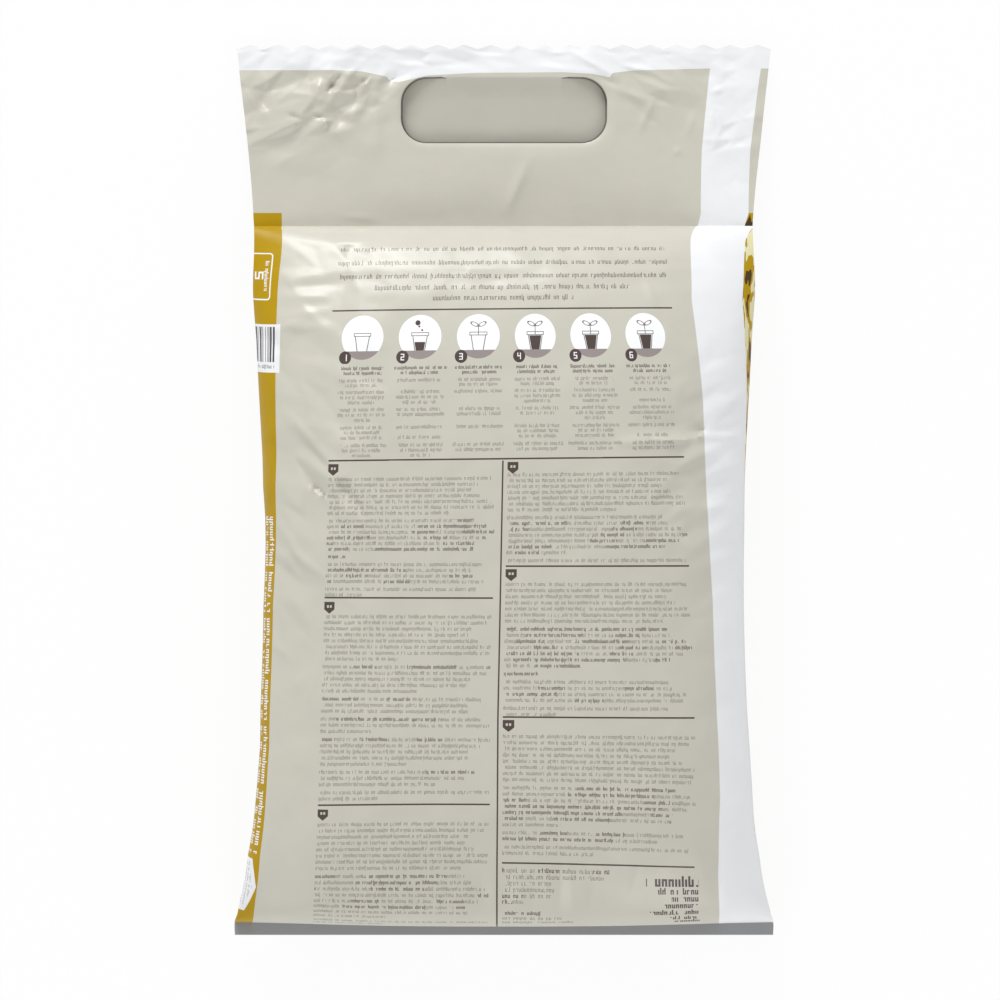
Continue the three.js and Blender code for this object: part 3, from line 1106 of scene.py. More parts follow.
def painted_flap_shade(wiring, place):
    """Painted shade: how much darker the slot's flap is painted than the header, for the shade below the
    header, most of all along its free edges, with a painted shadow in the line of the cut.
    """
    at = wiring.add("ShaderNodeSeparateXYZ", place)
    x = wiring.times(at.outputs[0], 1 / MM)
    y = wiring.minus(wiring.times(at.outputs[1], 1 / MM), SLOT_AT - BAG_LENGTH / 2)
    outside = wiring.rounded_box(x, y, (0.0, 0.0), (SLOT_LENGTH / 2, SLOT_WIDTH / 2), SLOT_CORNER)
    inwards = wiring.most(wiring.times(outside, -1.0), 0.0)
    # Painted shade that fades in from the flap's free edges, and a painted shadow line just inside the
    # cut
    edge = wiring.math("EXPONENT", wiring.over(inwards, -FLAP_PAINTED_SHADE_REACH))
    line = wiring.near(outside, -CUT_SHADOW_LINE_WIDTH / 2, CUT_SHADOW_LINE_WIDTH / 2)
    beside_hinge = wiring.above(wiring.unsigned(x), HINGE_LENGTH / 2)
    free = wiring.either(beside_hinge, wiring.below(y, 0.0))
    shade = wiring.plus(wiring.times(edge, FLAP_EDGE_PAINTED_SHADE), wiring.times(line, CUT_LINE_PAINTED_SHADOW))
    shade = wiring.plus(wiring.times(shade, free), FLAP_PAINTED_SHADE)
    return wiring.times(wiring.below(outside, 0.0), shade)


def film_ground():
    """The node group with the film's fields of colour, painted shade on the slot's flap and the bottom
    weld, its gloss and its fine unevenness.
    """
    colours = bag_colours()
    group = bpy.data.node_groups.new("film_ground", "ShaderNodeTree")
    sockets = {"Colour": "Color", "Gloss": "Float", "Shine": "Float", "Normal": "Vector"}
    for name, kind in sockets.items():
        group.interface.new_socket(name, in_out="OUTPUT", socket_type="NodeSocket" + kind)
    wiring = Wiring(group)
    out = wiring.add("NodeGroupOutput")
    round_film, along = wiring.film_place()

    dip = wiring.curve(round_film, -150, 150, 10, BAND_DIPS)
    band = wiring.above(wiring.plus(along, dip), BAND_FROM)
    header = wiring.above(along, NECK_FILM)
    white_to = wiring.plus(wiring.times(header, WHITE_TO_HEADER - WHITE_TO_POUCH), WHITE_TO_POUCH)
    past_white = wiring.above(round_film, white_to)
    strip = wiring.without(wiring.above(round_film, WHITE_FROM), past_white)
    fin = wiring.below(along, FIN_LENGTH)
    front = wiring.either(wiring.below(round_film, GOLD_FROM), past_white)
    gold = wiring.times(front, wiring.below(along, GOLD_TOP))

    narrowed = [wiring.times(value, scale) for value, scale in zip((round_film, along), STREAK_SCALE)]
    streaks = wiring.noise(wiring.add("ShaderNodeCombineXYZ", *narrowed).outputs[0], 1.0, 2, "2D")
    picture = wiring.times(gold, past_white, wiring.above(along, PICTURE_FROM))
    picture = wiring.times(picture, wiring.below(round_film, PICTURE_TO))

    # Noise is scaled for places in metres: its patches are about 1 / scale wide
    place = wiring.add("ShaderNodeTexCoord").outputs["Object"]
    mottle = wiring.noise(place, 60, 3)
    shade = wiring.plus(wiring.times(mottle, MOTTLE), 1 - MOTTLE / 2)
    # The mottle is the film's own uneven tone; the flap's part of this shade is painted shade for its
    # recess under the header
    shade = wiring.without(shade, painted_flap_shade(wiring, place))
    ground = wiring.colour(gold, ink(colours.sand), ink(colours.gold))
    pale = wiring.times(picture, wiring.above(streaks, STREAK_ABOVE))
    dark = wiring.times(picture, wiring.below(streaks, STREAK_BELOW))
    ground = wiring.colour(pale, ground, ink(STREAK_PALE))
    ground = wiring.colour(dark, ground, ink(STREAK_DARK))
    ground = wiring.colour(wiring.either(band, strip), ground, ink(colours.white))
    # Painted shade: the weld grey stands for the shadow of the pouch's foot on the white film of the
    # bottom weld
    ground = wiring.colour(fin, ground, ink(colours.weld))
    tone = wiring.add("ShaderNodeCombineXYZ", shade, shade, shade).outputs[0]
    wiring.feed(out.inputs["Colour"], wiring.colour(1.0, ground, tone, "MULTIPLY"))

    smears = wiring.noise(place, 25, 4)
    wiring.feed(out.inputs["Gloss"], wiring.plus(wiring.times(smears, FILM_SMEARS), FILM_ROUGHNESS))
    duller = wiring.times(gold, FILM_SHINE - GOLD_SHINE)
    wiring.feed(out.inputs["Shine"], wiring.minus(FILM_SHINE, duller))
    normal = None
    for depth, scale in ((WAVE_DEPTH, 42), (GRAIN_DEPTH, 260)):
        bump = wiring.add("ShaderNodeBump", named={"Strength": 1.0, "Distance": depth * MM})
        wiring.feed(bump.inputs["Height"], wiring.noise(place, scale, 2))
        wiring.feed(bump.inputs["Normal"], normal)
        normal = bump.outputs[0]
    wiring.feed(out.inputs["Normal"], normal)


def stroke_group():
    """The node group that draws unreadable upright strokes in place of a line of lettering."""
    group = bpy.data.node_groups.new("upright_strokes", "ShaderNodeTree")
    sockets = ("Along", "Off", "Line", "Size", "Bold")
    for socket in sockets:
        group.interface.new_socket(socket, in_out="INPUT", socket_type="NodeSocketFloat")
    group.interface.new_socket("Ink", in_out="OUTPUT", socket_type="NodeSocketFloat")
    wiring = Wiring(group)
    given = wiring.add("NodeGroupInput").outputs
    drawn = upright_strokes(wiring, *(given[socket] for socket in sockets))
    wiring.feed(wiring.add("NodeGroupOutput").inputs["Ink"], drawn)


def word_gap(wiring, cell, seed):
    """1 in the cells between words, so each word is at least two cells long."""
    third = wiring.below(wiring.math("FRACT", wiring.over(cell, 3.0)), 0.2)
    return wiring.times(third, wiring.below(wiring.chance(cell, seed), WORD_ENDS))


def upright_strokes(wiring, along, off, line, size, bold):
    """Stems two to a cell, some of them joined at the top or the bottom."""
    seed = wiring.times(line, 7.31)
    steps = wiring.over(along, wiring.times(size, STEM_PITCH))
    number = wiring.whole(steps)
    cell = wiring.whole(wiring.times(steps, 0.5))
    width = wiring.times(size, wiring.plus(wiring.times(bold, BOLDER_BY), STEM_WIDTH))
    half_width = wiring.times(width, 0.5)
    aside = wiring.unsigned(wiring.minus(wiring.minus(steps, number), 0.5))
    from_stem = wiring.times(aside, size, STEM_PITCH)
    tall = wiring.above(wiring.chance(number, wiring.plus(seed, 3.7)), 1 - TALL_STEMS)
    long = wiring.below(wiring.chance(number, wiring.plus(seed, 8.3)), LONG_STEMS)
    top = wiring.times(size, wiring.plus(wiring.times(tall, ASCENT), 0.5))
    low = wiring.times(size, wiring.plus(wiring.times(long, ASCENT), 0.5))
    high_enough = wiring.times(wiring.below(off, top), wiring.above(wiring.plus(off, low), 0.0))
    stem = wiring.times(wiring.below(from_stem, half_width), high_enough)
    stem = wiring.times(stem, wiring.above(wiring.chance(number, seed), STEMS_LEFT_OUT))
    between = wiring.near(wiring.minus(steps, wiring.times(cell, 2.0)), 1.0, 0.5)
    kind = wiring.chance(cell, wiring.plus(seed, 1.3))
    bar_at = wiring.minus(wiring.times(size, 0.5), half_width)
    low_bar_at = wiring.times(bar_at, -1.0)
    upper = wiring.times(wiring.below(kind, TOP_BARS), wiring.near(off, bar_at, half_width))
    lower = wiring.times(wiring.above(kind, 1 - LOW_BARS), wiring.near(off, low_bar_at, half_width))
    bar = wiring.times(wiring.either(upper, lower), between)
    return wiring.without(wiring.either(stem, bar), word_gap(wiring, cell, wiring.plus(seed, 5.9)))


def printed(name, draw):
    """A material of the film, with what draw prints on it: pairs of a mask and a colour."""
    material = bpy.data.materials.new(name)
    material.use_nodes = True
    wiring = Wiring(material.node_tree)
    shader = material.node_tree.nodes["Principled BSDF"]
    ground = wiring.add("ShaderNodeGroup", node_tree=bpy.data.node_groups["film_ground"])
    colour = ground.outputs["Colour"]
    round_film, along = wiring.film_place()
    for mask, mark in draw(wiring, round_film, along):
        colour = wiring.colour(mask, colour, ink(mark))
    wiring.feed(shader.inputs["Base Color"], colour)
    wiring.feed(shader.inputs["Roughness"], ground.outputs["Gloss"])
    wiring.feed(shader.inputs["Normal"], ground.outputs["Normal"])
    wiring.feed(shader.inputs["Specular IOR Level"], ground.outputs["Shine"])
    return material


def paragraphs(top, pitch, parts):
    """Lines of text from the top down: each line's place, its share of the full width and its weight.

    A part is a count of lines, the share of its last line, and the weights of its lines as digits
    from 0 to 9, where a missing digit is 0. Full lines end a little unevenly.
    """
    lines = []
    at = top
    for count, last_share, weights in parts:
        for n in range(count):
            share = last_share if n == count - 1 else 0.93 + 0.07 * math.sin(5.1 * len(lines) + count)
            weight = int(weights[n]) / 9 if n < len(weights) else 0
            lines.append((at, share, weight))
            at -= pitch
        at -= PARAGRAPH_GAP
    return lines


def line_table(wiring, along, lines, pitch):
    """The middle, the share and the weight of the line of text that lies at a place along the film."""
    top = lines[0][0] + pitch / 2
    low = lines[-1][0] - pitch / 2
    ramp = wiring.add("ShaderNodeValToRGB", wiring.over(wiring.minus(along, low), top - low))
    ramp.color_ramp.interpolation = "CONSTANT"
    stops = ramp.color_ramp.elements
    while len(stops) < len(lines):
        stops.new(0.999)
    for stop, (at, share, weight) in zip(stops, reversed(lines)):
        stop.position = max((at - pitch / 2 - low) / (top - low), 0)
        stop.color = ((at - low) / (top - low), share, weight, 1)
    parts = wiring.add("ShaderNodeSeparateColor", ramp.outputs[0])
    middle = wiring.plus(wiring.times(parts.outputs[0], top - low), low)
    return middle, parts.outputs[1], parts.outputs[2]


def text_ink(wiring, start, off, line, size, bold):
    """Where strokes in place of lettering print ink."""
    strokes = wiring.add("ShaderNodeGroup", node_tree=bpy.data.node_groups["upright_strokes"])
    for name, value in (("Along", start), ("Off", off), ("Line", line), ("Size", size), ("Bold", bold)):
        wiring.feed(strokes.inputs[name], value)
    return strokes.outputs[0]


def text_block(wiring, round_film, along, left, right, lines, pitch, size):
    """Lines that all start at the left, with bold words in the lines that have a weight."""
    middle, share, weight = line_table(wiring, along, lines, pitch)
    start = wiring.minus(round_film, left)
    shifted = wiring.plus(start, wiring.times(middle, 3.0))
    words = wiring.whole(wiring.over(shifted, BOLD_STRETCH))
    bold = wiring.below(wiring.chance(words, middle), weight)
    strokes = text_ink(wiring, start, wiring.minus(along, middle), middle, size, bold)
    line_length = wiring.times(share, right - left)
    return wiring.times(strokes, wiring.above(start, 0.0), wiring.below(start, line_length))


def rule(wiring, round_film, along, left, right, at):
    """A line across the film."""
    return wiring.box(round_film, along, (left, at - RULE_WIDTH / 2), (right, at + RULE_WIDTH / 2))


def shield(wiring, round_film, along, left, at):
    """A small pointed shield, and two short bars inside it."""
    x = wiring.minus(round_film, left + 3.0)
    y = wiring.minus(along, at)
    reach = wiring.least(wiring.times(wiring.plus(y, 3.1), 1.3), 3.0)
    body = wiring.times(wiring.below(wiring.unsigned(x), reach), wiring.below(y, 3.1))
    bars = wiring.near(wiring.unsigned(x), 0.85, 0.55)
    return body, wiring.times(bars, wiring.near(y, 0.7, 0.65))


# Blocks of text in the two columns: the column, the shield above the text, the pitch of the lines,
# the first line, the paragraphs, and the rule below if there is one
COLUMN_BLOCKS = [
    (
        "left",
        287.7,
        2.98,
        282.5,
        [(7, 0.73, ""), (6, 0.88, "254356"), (1, 0.12, "9"), (4, 0.94, "0433"), (2, 0.24, "")],
        220.5,
    ),
    (
        "left",
        215.2,
        3.14,
        210.6,
        [
            (8, 0.45, ""),
            (5, 0.57, "4"),
            (3, 0.87, "4"),
            (3, 0.31, "4"),
            (5, 0.52, "4"),
            (3, 0.7, "4"),
            (2, 0.36, ""),
        ],
        113.6,
    ),
    ("left", 108.6, 3.26, 103.3, [(8, 0.84, ""), (8, 0.43, "3343443"), (2, 0.4, "")], None),
    ("right", 287.8, 3.02, 284.1, [(7, 0.6, ""), (7, 0.32, "2355443"), (1, 0.98, "")], 237.0),
    (
        "right",
        232.4,
        3.16,
        227.5,
        [(7, 0.84, ""), (7, 0.4, "9554553"), (1, 0.18, "9"), (4, 0.94, "0443"), (2, 0.28, "")],
        159.0,
    ),
    (
        "right",
        154.4,
        3.2,
        148.9,
        [(8, 0.97, ""), (7, 0.3, "6345773"), (2, 0.8, "37"), (2, 0.47, "")],
        83.3,
    ),
]

INTRO_LINES = [(408.9, 0.985, 0), (399.7, 1.0, 0), (391.3, 0.99, 0), (384.6, 0.76, 0), (378.4, 0.42, 0)]
STEP_LINES = [
    (340.6, 1.0, 1.0),
    (338.0, 0.8, 0.9),
    (334.1, 0.9, 0),
    (331.6, 0.7, 0.2),
    (328.0, 0.9, 0),
    (325.2, 0.95, 0.3),
    (322.5, 0.6, 0.5),
    (318.8, 0.95, 0),
    (316.1, 0.9, 0.3),
    (313.4, 0.4, 0.4),
    (309.5, 0.95, 0),
    (306.9, 0.85, 0.2),
    (304.2, 0.8, 0.6),
    (300.2, 0.98, 0),
    (297.5, 0.85, 0.2),
    (294.9, 0.4, 0.6),
]
ADDRESS_LINES = [
    (79.3, 0.57, 0.5),
    (76.0, 0.53, 0.5),
    (72.8, 0.27, 0.3),
    (69.5, 0.27, 0.3),
    (66.3, 0.27, 0.3),
    (63.2, 0.11, 0.3),
    (56.6, 0.2, 1.0),
    (53.0, 0.31, 0),
    (49.4, 0.37, 0),
]
BIG_WORDS = [
    (74.5, 0.85, 1.0),
    (69.5, 0.65, 0.4),
    (65.4, 0.41, 0.4),
    (61.3, 0.53, 0.35),
    (56.8, 0.79, 0.35),
    (52.3, 0.45, 0.3),
    (48.4, 0.35, 0.3),
]
PICTURE_GREY = (0.30, 0.262, 0.254)
PICTURE_LINE = (0.17, 0.14, 0.13)
DISC_WHITE = (0.9, 0.91, 0.93)
LABEL_BAR = (0.09, 0.085, 0.09)
LEAF_GREEN = (0.09, 0.16, 0.05)


def draw_intro(wiring, round_film, along):
    """The centred lines at the top, and the rule under them."""
    colours = bag_colours()
    middle, share, _ = line_table(wiring, along, INTRO_LINES, 8)
    half = (TEXT_RIGHT - TEXT_LEFT) / 2 - 1
    from_middle = wiring.minus(round_film, STEP_MIDDLE - 1)
    reach = wiring.times(share, half)
    start = wiring.plus(from_middle, reach)
    strokes = text_ink(wiring, start, wiring.minus(along, middle), middle, INTRO_SIZE, 0.35)
    within = wiring.below(wiring.unsigned(from_middle), reach)
    yield wiring.times(strokes, within), colours.ink
    yield rule(wiring, round_film, along, TEXT_LEFT, TEXT_RIGHT, 372.2), colours.ink


def step_places(wiring, round_film):
    """Number of the step from 0 to 5, and the place across from the step's middle."""
    first = STEP_MIDDLE - 3 * STEP_PITCH
    share = wiring.over(wiring.minus(round_film, first), STEP_PITCH)
    step = wiring.whole(share)
    return step, wiring.times(wiring.minus(wiring.minus(share, step), 0.5), STEP_PITCH)


def draw_step_text(wiring, round_film, along):
    """Short centred lines under each picture, some of them missing."""
    colours = bag_colours()
    step, across = step_places(wiring, round_film)
    middle, share, weight = line_table(wiring, along, STEP_LINES, 2.6)
    bold = wiring.above(weight, 0.8)
    missing = wiring.below(wiring.chance(step, middle), wiring.times(wiring.without(weight, bold), 0.7))
    shorter = wiring.plus(wiring.times(wiring.chance(wiring.plus(step, 9.0), middle), 0.22), 0.78)
    reach = wiring.times(share, shorter, 15.4)
    line = wiring.plus(middle, wiring.times(step, 11.0))
    start = wiring.plus(across, reach)
    strokes = text_ink(wiring, start, wiring.minus(along, middle), line, STEP_SIZE, bold)
    within = wiring.below(wiring.unsigned(across), reach)
    yield wiring.without(wiring.times(strokes, within), missing), colours.ink


def draw_step_rule(wiring, round_film, along):
    """The rule between the steps and the two columns."""
    colours = bag_colours()
    yield rule(wiring, round_film, along, TEXT_LEFT, TEXT_RIGHT, 292.6), colours.ink


def digit(wiring, x, y, number, half_width, half_height, stroke):
    """A plain number from 1 to 6 as straight strokes."""
    reach = half_width + stroke
    is_one = wiring.below(number, 1.5)
    is_two = wiring.near(number, 2.0, 0.5)
    is_four = wiring.near(number, 4.0, 0.5)
    is_six = wiring.near(number, 6.0, 0.5)
    has_ends = wiring.minus(1.0, wiring.either(is_one, is_four))
    level = [
        (half_height, has_ends),
        (0.0, wiring.minus(1.0, is_one)),
        (-half_height, has_ends),
    ]
    upright = [
        (-half_width, half_height / 2, wiring.above(number, 3.5)),
        (half_width, half_height / 2, wiring.below(number, 4.5)),
        (-half_width, -half_height / 2, wiring.either(is_two, is_six)),
        (half_width, -half_height / 2, wiring.minus(1.0, is_two)),
    ]
    parts = []
    for at, on in level:
        bar = wiring.box(x, y, (-reach, at - stroke), (reach, at + stroke))
        parts.append(wiring.times(bar, on))
    for at, middle, on in upright:
        low = (at - stroke, middle - half_height / 2 - stroke)
        high = (at + stroke, middle + half_height / 2 + stroke)
        parts.append(wiring.times(wiring.box(x, y, low, high), on))
    return wiring.either(*parts)


def draw_step_pictures(wiring, round_film, along):
    """Round pictures of potting a plant, each with its number."""
    colours = bag_colours()
    step, x = step_places(wiring, round_film)
    y = wiring.minus(along, DISC_AT)
    disc = wiring.below(wiring.distance(x, y, (0.0, 0.0)), DISC_RADIUS)
    yield disc, DISC_WHITE
    ground_at = -7.4
    rim_at = 0.4
    yield wiring.times(disc, wiring.below(y, ground_at)), PICTURE_GREY
    sideways = wiring.unsigned(x)
    wall = wiring.plus(wiring.times(y, 0.17), 4.0)
    on_wall = wiring.near(wiring.minus(sideways, wall), 0.0, 0.24)
    body = wiring.near(y, (ground_at + rim_at) / 2, (rim_at - ground_at) / 2)
    rim_out = wiring.box(x, y, (-5.0, rim_at), (5.0, 2.4))
    rim_in = wiring.box(x, y, (-4.6, 0.8), (4.6, 2.0))
    yield wiring.times(on_wall, body), PICTURE_LINE
    yield wiring.without(rim_out, rim_in), PICTURE_LINE
    filling = wiring.near(step, 1.0, 0.5)
    filled = wiring.either(wiring.above(step, 2.5), filling)
    soil_top = wiring.minus(0.2, wiring.times(filling, 3.0))
    soil = wiring.times(wiring.below(sideways, wiring.minus(wall, 0.5)), wiring.below(y, soil_top), body)
    yield wiring.times(soil, filled), colours.ink
    planted = wiring.above(step, 1.5)
    stem = wiring.box(x, y, (-0.22, rim_at), (0.22, 6.2))
    leaf_x = wiring.minus(sideways, 2.2)
    leaf_y = wiring.minus(wiring.minus(y, 6.6), wiring.times(leaf_x, 0.35))
    leaf = wiring.distance(wiring.times(leaf_x, 0.52), leaf_y, (0.0, 0.0))
    leaves = wiring.near(leaf, 1.05, 0.2)
    yield wiring.times(wiring.either(stem, leaves), planted), PICTURE_LINE
    for crumb, radius in (((1.1, 3.6), 0.55), ((-0.6, 5.6), 0.55), ((-1.4, 7.6), 1.45)):
        yield wiring.times(wiring.below(wiring.distance(x, y, crumb), radius), filling), colours.ink
    number_at = (-9.6, -10.8)
    yield wiring.below(wiring.distance(x, y, number_at), 3.5), colours.ink
    shifted = wiring.minus(x, number_at[0]), wiring.minus(y, number_at[1])
    yield digit(wiring, *shifted, wiring.plus(step, 1.0), 0.75, 1.5, 0.26), DISC_WHITE


def column_block(column, shield_at, pitch, top, parts, rule_at):
    """The drawing of one block of a text column."""
    left, right = (TEXT_LEFT, LEFT_COLUMN_TO) if column == "left" else (RIGHT_COLUMN_FROM, TEXT_RIGHT)

    def draw(wiring, round_film, along):
        colours = bag_colours()
        body, bars = shield(wiring, round_film, along, left, shield_at)
        yield body, colours.ink
        yield bars, colours.sand
        lines = paragraphs(top, pitch, parts)
        strokes = text_block(wiring, round_film, along, left, right, lines, pitch, COLUMN_SIZE)
        yield strokes, colours.ink
        if rule_at:
            yield rule(wiring, round_film, along, left, right, rule_at), colours.ink

    return draw


def draw_column_rule(wiring, round_film, along):
    """The upright rule between the two columns."""
    colours = bag_colours()
    yield wiring.near(round_film, COLUMN_RULE, RULE_WIDTH / 2), colours.ink


def draw_address(wiring, round_film, along):
    """Short lines at the foot of the right column."""
    colours = bag_colours()
    ends = RIGHT_COLUMN_FROM, TEXT_RIGHT
    strokes = text_block(wiring, round_film, along, *ends, ADDRESS_LINES, 3.2, ADDRESS_SIZE)
    yield strokes, colours.ink


def draw_big_words(wiring, round_film, along):
    """Large words that all end at the right."""
    colours = bag_colours()
    middle, share, weight = line_table(wiring, along, BIG_WORDS, 4)
    from_end = wiring.minus(TEXT_RIGHT, round_film)
    size = wiring.plus(wiring.times(weight, 2.7), 1.5)
    line = wiring.plus(middle, 31.0)
    strokes = text_ink(wiring, from_end, wiring.minus(along, middle), line, size, 1.5)
    yield wiring.times(strokes, wiring.below(from_end, wiring.times(share, 30.0))), colours.ink


def draw_gold_strip(wiring, round_film, along):
    """What wraps round the left side: a volume badge, a bar code label, lettering and a tag."""
    colours = bag_colours()
    outline = wiring.rounded_box(round_film, along, VOLUME_BADGE_AT, (10.2, 14.0), 2.0)
    yield wiring.near(outline, 0.0, 0.42), colours.white
    badge_x, badge_y = VOLUME_BADGE_AT
    turned = wiring.minus(along, badge_y), wiring.minus(badge_x + 2.0, round_film)
    yield digit(wiring, *turned, 5.0, 1.8, 2.6, 0.55), colours.white
    word = wiring.near(along, badge_y, 9.0)
    strokes = text_ink(wiring, along, wiring.plus(round_film, 141.6), 3.0, 1.9, 1.0)
    yield wiring.times(strokes, word), colours.white

    for middle, line in ((-137.6, 5.0), (-143.4, 8.0)):
        strokes = text_ink(wiring, along, wiring.minus(round_film, middle), line, STRIP_SIZE, 1.0)
        yield wiring.times(strokes, wiring.near(along, 175.0, 88.0)), colours.white

    yield wiring.box(round_film, along, (LABEL_LEFT, LABEL_LOW), (LABEL_RIGHT, LABEL_TOP)), colours.white
    left, right = LABEL_LEFT + 3.0, LABEL_RIGHT - 3.8
    bars = wiring.above(wiring.chance(wiring.whole(wiring.times(round_film, 2.2)), 4.0), 0.46)
    barred = wiring.box(round_film, along, (left, LABEL_LOW + 5.6), (right, LABEL_TOP - 1.4))
    yield wiring.times(bars, barred), LABEL_BAR
    figures = text_ink(wiring, round_film, wiring.minus(along, LABEL_LOW + 3.0), 2.0, 1.5, 0.6)
    figured = wiring.box(round_film, along, (left, LABEL_LOW + 1.0), (right, LABEL_LOW + 5.0))
    yield wiring.times(figures, figured), LABEL_BAR

    beside = wiring.unsigned(wiring.minus(along, TAG_AT))
    slant = wiring.plus(wiring.times(beside, 0.34), round_film)
    tag = wiring.box(round_film, along, (-152.0, TAG_AT - 17.5), (-130.0, TAG_AT + 15.5))
    tag = wiring.times(wiring.below(slant, -133.8), tag)
    yield tag, colours.white
    rows = wiring.whole(wiring.over(round_film, 2.6))
    off = wiring.minus(wiring.minus(round_film, wiring.times(rows, 2.6)), 1.3)
    strokes = text_ink(wiring, along, off, rows, 1.2, 0.0)
    inner = wiring.times(wiring.below(slant, -136.5), wiring.near(along, TAG_AT - 0.5, 14.0), tag)
    yield wiring.times(strokes, inner), PICTURE_LINE


def draw_front(wiring, round_film, along):
    """The front panel: a pale panel with a potted plant, and bands of colour."""
    colours = bag_colours()
    aside = wiring.minus(bag_settings().flat_width / MM, wiring.unsigned(round_film))
    yield wiring.near(along, 100.0, 26.0), colours.ink
    yield wiring.near(along, 71.0, 1.4), colours.sand
    panel = wiring.rounded_box(aside, along, (0.0, 268.0), (84.0, 116.0), 14.0)
    yield wiring.below(panel, 0.0), colours.sand
    yield wiring.near(panel, 4.0, 0.7), colours.sand
    disc = wiring.below(wiring.distance(aside, along, (0.0, 262.0)), 62.0)
    yield disc, DISC_WHITE
    yield wiring.times(disc, wiring.below(along, 226.0)), colours.gold
    pot_low = 218.0
    rim_top = 260.0
    wall = wiring.plus(wiring.times(wiring.minus(along, pot_low), 0.22), 17.0)
    pot = wiring.times(wiring.below(aside, wall), wiring.near(along, pot_low + 18.0, 18.0))
    rim = wiring.box(aside, along, (-28.0, rim_top - 10.0), (28.0, rim_top))
    yield wiring.either(pot, rim), PICTURE_GREY
    stem = wiring.box(aside, along, (-1.4, rim_top), (1.4, 292.0))
    leaf_x = wiring.minus(aside, 16.0)
    leaf_y = wiring.minus(wiring.minus(along, 290.0), wiring.times(leaf_x, 0.45))
    leaf = wiring.below(wiring.distance(wiring.times(leaf_x, 0.48), leaf_y, (0.0, 0.0)), 8.0)
    yield wiring.either(stem, leaf), LEAF_GREEN


def print_zones():
    """Each printed area of the film: its name, its left, low, right and top lines, and what it draws."""
    zones = [
        ("intro_print", (ZONES_LEFT, INTRO_LOW, ZONES_RIGHT, 415), draw_intro),
        ("step_pictures", (STEPS_LEFT, PICTURES_LOW, STEPS_RIGHT, INTRO_LOW), draw_step_pictures),
        ("step_print", (STEPS_LEFT, STEPS_LOW, STEPS_RIGHT, PICTURES_LOW), draw_step_text),
        ("step_rule", (ZONES_LEFT, COLUMNS_TOP, ZONES_RIGHT, STEPS_LOW), draw_step_rule),
        ("column_rule", (LEFT_COLUMN_END, 8, RIGHT_COLUMN_START, COLUMNS_TOP), draw_column_rule),
        ("big_words_print", (BIG_WORDS_START, FOOT_LOW, ZONES_RIGHT, FOOT_TOP), draw_big_words),
        ("address_print", (RIGHT_COLUMN_START, FOOT_LOW, BIG_WORDS_START, FOOT_TOP), draw_address),
        ("gold_strip_print", (-176, 20, -129.4, 430), draw_gold_strip),
        ("front_print", (-290, 20, -180, 430), draw_front),
        ("front_print", (180, 20, 290, 430), draw_front),
    ]
    top = {"left": COLUMNS_TOP, "right": COLUMNS_TOP}
    sides = {"left": (ZONES_LEFT, LEFT_COLUMN_END), "right": (RIGHT_COLUMN_START, ZONES_RIGHT)}
    for number, block in enumerate(COLUMN_BLOCKS):
        column, rule_at = block[0], block[-1]
        low = rule_at - PAST_RULE if rule_at else COLUMNS_LOW
        zone = (sides[column][0], low, sides[column][1], top[column])
        zones.append((f"{column}_column_print_{number}", zone, column_block(*block)))
        top[column] = low
    return zones


class COMPOST_OT_print(bpy.types.Operator):
    """Prints the film: fields of colour, rows of unreadable text, pictures and rules"""

    bl_idname = "compost.print"
    bl_label = "Print"

    def execute(self, context):
        bag = bpy.data.objects["film_bag"]
        film_ground()
        stroke_group()
        slots = {"printed_film": 0}
        bag.data.materials.clear()
        bag.data.materials.append(printed("printed_film", lambda *_: ()))
        round_film, along = self.face_places(bag.data)
        slot_of_face = np.zeros(len(bag.data.polygons), np.int32)
        for name, (left, low, right, high), draw in print_zones():
            inside = (round_film > left) & (round_film < right) & (along > low) & (along < high)
            if name not in slots:
                slots[name] = len(bag.data.materials)
                bag.data.materials.append(printed(name, draw))
            slot_of_face[inside & (slot_of_face == 0)] = slots[name]
        bag.data.polygons.foreach_set("material_index", slot_of_face)
        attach(bag, "root")
        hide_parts("filled_bag")
        return {"FINISHED"}

    def face_places(self, mesh):
        """Where the middle of each face lies on the flat film, in millimetres."""
        film = film_map(mesh) / MM
        first = np.zeros(len(mesh.polygons), np.int32)
        mesh.polygons.foreach_get("loop_start", first)
        count = np.zeros(len(mesh.polygons), np.int32)
        mesh.polygons.foreach_get("loop_total", count)
        middle = np.add.reduceat(film, first, axis=0) / count[:, None]
        return middle[:, 0], middle[:, 1]


# The studio, in metres: each lamp's place, its size and its power in watts, the floor with the share of
# plain white that the camera sees of it, the light from all round, and the camera
LAMPS = {
    "key_light": ((-1.34, 4.99, 1.88), 2.2, 228),
    "fill_light": ((1.9, -4.08, 3.16), 2.6, 80),
    "low_light": ((-3.53, -3.53, 2.32), 2.6, 30),
}
FLOOR_SIZE = 16
FLOOR_DROP = 0.2 * MM
FLOOR_COLOUR = (0.9, 0.9, 0.9)
FLOOR_GLOW = 0.93
ROUND_LIGHT = 0.61
CAMERA_PLACE = (-0.0021, -0.0055, 2.8)
SENSOR_WIDTH = 36
VIEW_WIDTH = 0.5278
VIEW_HEIGHT = 0.015


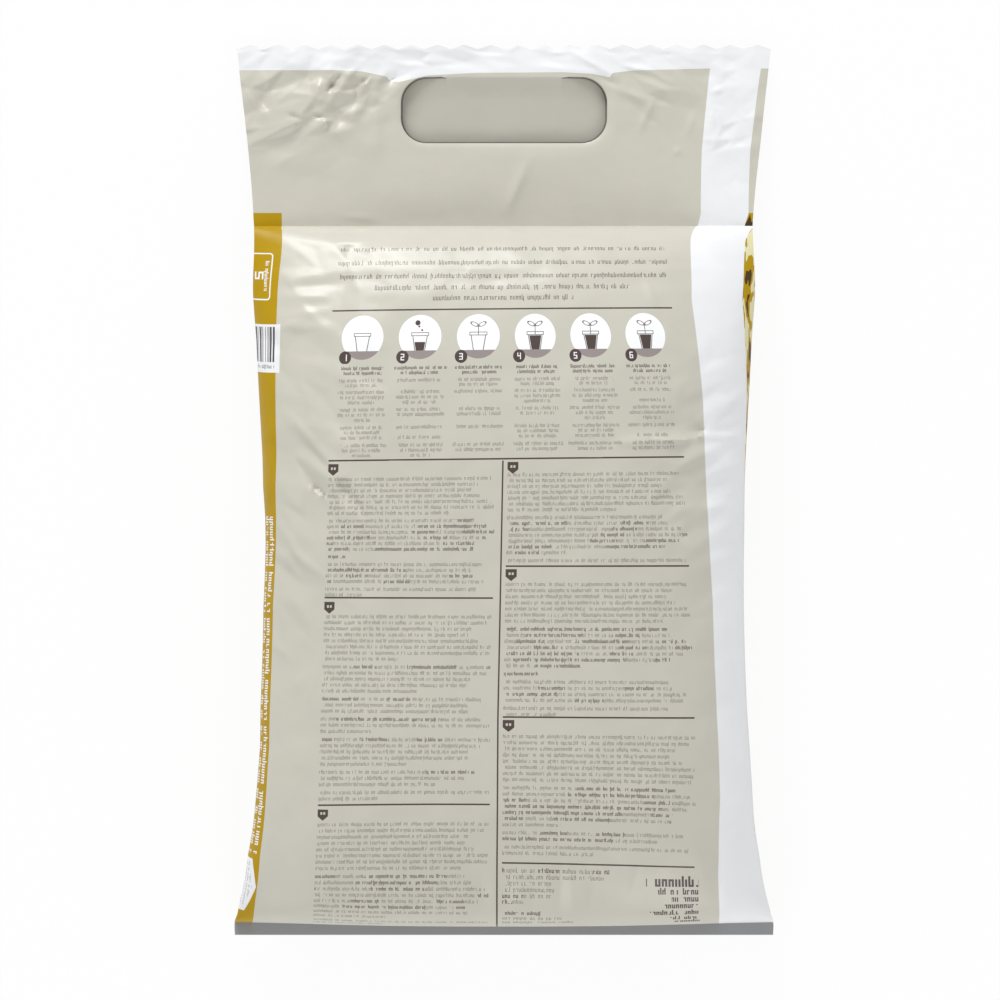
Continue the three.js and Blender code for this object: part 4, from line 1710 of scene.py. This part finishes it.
class COMPOST_OT_stage(bpy.types.Operator):
    """Makes the pale floor, the soft studio light and the camera above the bag"""

    bl_idname = "compost.stage"
    bl_label = "Studio"

    def execute(self, context):
        self.floor()
        for name, (place, size, power) in LAMPS.items():
            self.lamp(name, place, size, power)
        self.world()
        self.camera(context)
        return {"FINISHED"}

    def floor(self):
        deselect_all()
        bpy.ops.mesh.primitive_plane_add(size=FLOOR_SIZE, location=(0, 0, -FLOOR_DROP))
        floor = bpy.context.object
        floor.name = "floor"
        material = bpy.data.materials.new("white_floor")
        material.use_nodes = True
        wiring = Wiring(material.node_tree)
        matte = material.node_tree.nodes["Principled BSDF"]
        wiring.feed(matte.inputs["Base Color"], ink(FLOOR_COLOUR))
        wiring.feed(matte.inputs["Roughness"], 0.9)
        glow = wiring.add("ShaderNodeEmission", named={"Strength": 1.0})
        seen = wiring.times(wiring.add("ShaderNodeLightPath").outputs["Is Camera Ray"], FLOOR_GLOW)
        blend = wiring.add("ShaderNodeMixShader", seen, matte.outputs[0], glow.outputs[0])
        wiring.feed(material.node_tree.nodes["Material Output"].inputs["Surface"], blend.outputs[0])
        floor.data.materials.append(material)

    def lamp(self, name, place, size, power):
        deselect_all()
        bpy.ops.object.light_add(type="AREA", location=place)
        lamp = bpy.context.object
        lamp.name = name
        lamp.data.shape = "SQUARE"
        lamp.data.size = size
        lamp.data.energy = power
        lamp.rotation_euler = (-Vector(place)).to_track_quat("-Z", "Y").to_euler()

    def world(self):
        world = bpy.data.worlds.new("studio")
        bpy.context.scene.world = world
        world.use_nodes = True
        background = world.node_tree.nodes["Background"]
        background.inputs["Color"].default_value = (1, 1, 1, 1)
        background.inputs["Strength"].default_value = ROUND_LIGHT

    def camera(self, context):
        """Looks straight down, and sees the view's width at the view's height."""
        deselect_all()
        bpy.ops.object.camera_add(location=CAMERA_PLACE, rotation=(0, 0, 0))
        camera = bpy.context.object
        camera.data.sensor_width = SENSOR_WIDTH
        camera.data.lens = SENSOR_WIDTH * (CAMERA_PLACE[2] - VIEW_HEIGHT) / VIEW_WIDTH
        context.scene.camera = camera
        context.scene.view_settings.view_transform = "Standard"


class COMPOST_PT_panel(bpy.types.Panel):
    """Lists the steps that make the bag"""

    bl_label = "Compost Bag"
    bl_idname = "COMPOST_PT_panel"
    bl_space_type = "VIEW_3D"
    bl_region_type = "UI"
    bl_category = "Compost Bag"

    def draw(self, context):
        layout = self.layout
        for name in BagSizes.__annotations__:
            layout.prop(context.scene.compost_bag_sizes, name)
        for name in BagColours.__annotations__:
            layout.prop(context.scene.compost_bag_colours, name)
        for operator in STEPS:
            layout.operator(operator.bl_idname)


STEPS = (COMPOST_OT_film_tube, COMPOST_OT_hand_slot, COMPOST_OT_print, COMPOST_OT_stage)
CLASSES = (BagSizes, BagColours, *STEPS, COMPOST_PT_panel)


def register():
    for item in CLASSES:
        bpy.utils.register_class(item)
    bpy.types.Scene.compost_bag_sizes = PointerProperty(type=BagSizes)
    bpy.types.Scene.compost_bag_colours = PointerProperty(type=BagColours)


def unregister():
    del bpy.types.Scene.compost_bag_colours
    del bpy.types.Scene.compost_bag_sizes
    for item in reversed(CLASSES):
        bpy.utils.unregister_class(item)


def main():
    register()
    bpy.ops.compost.film_tube()
    bpy.ops.compost.hand_slot()
    bpy.ops.compost.print()
    bpy.ops.compost.stage()


if __name__ == "__main__":
    main()
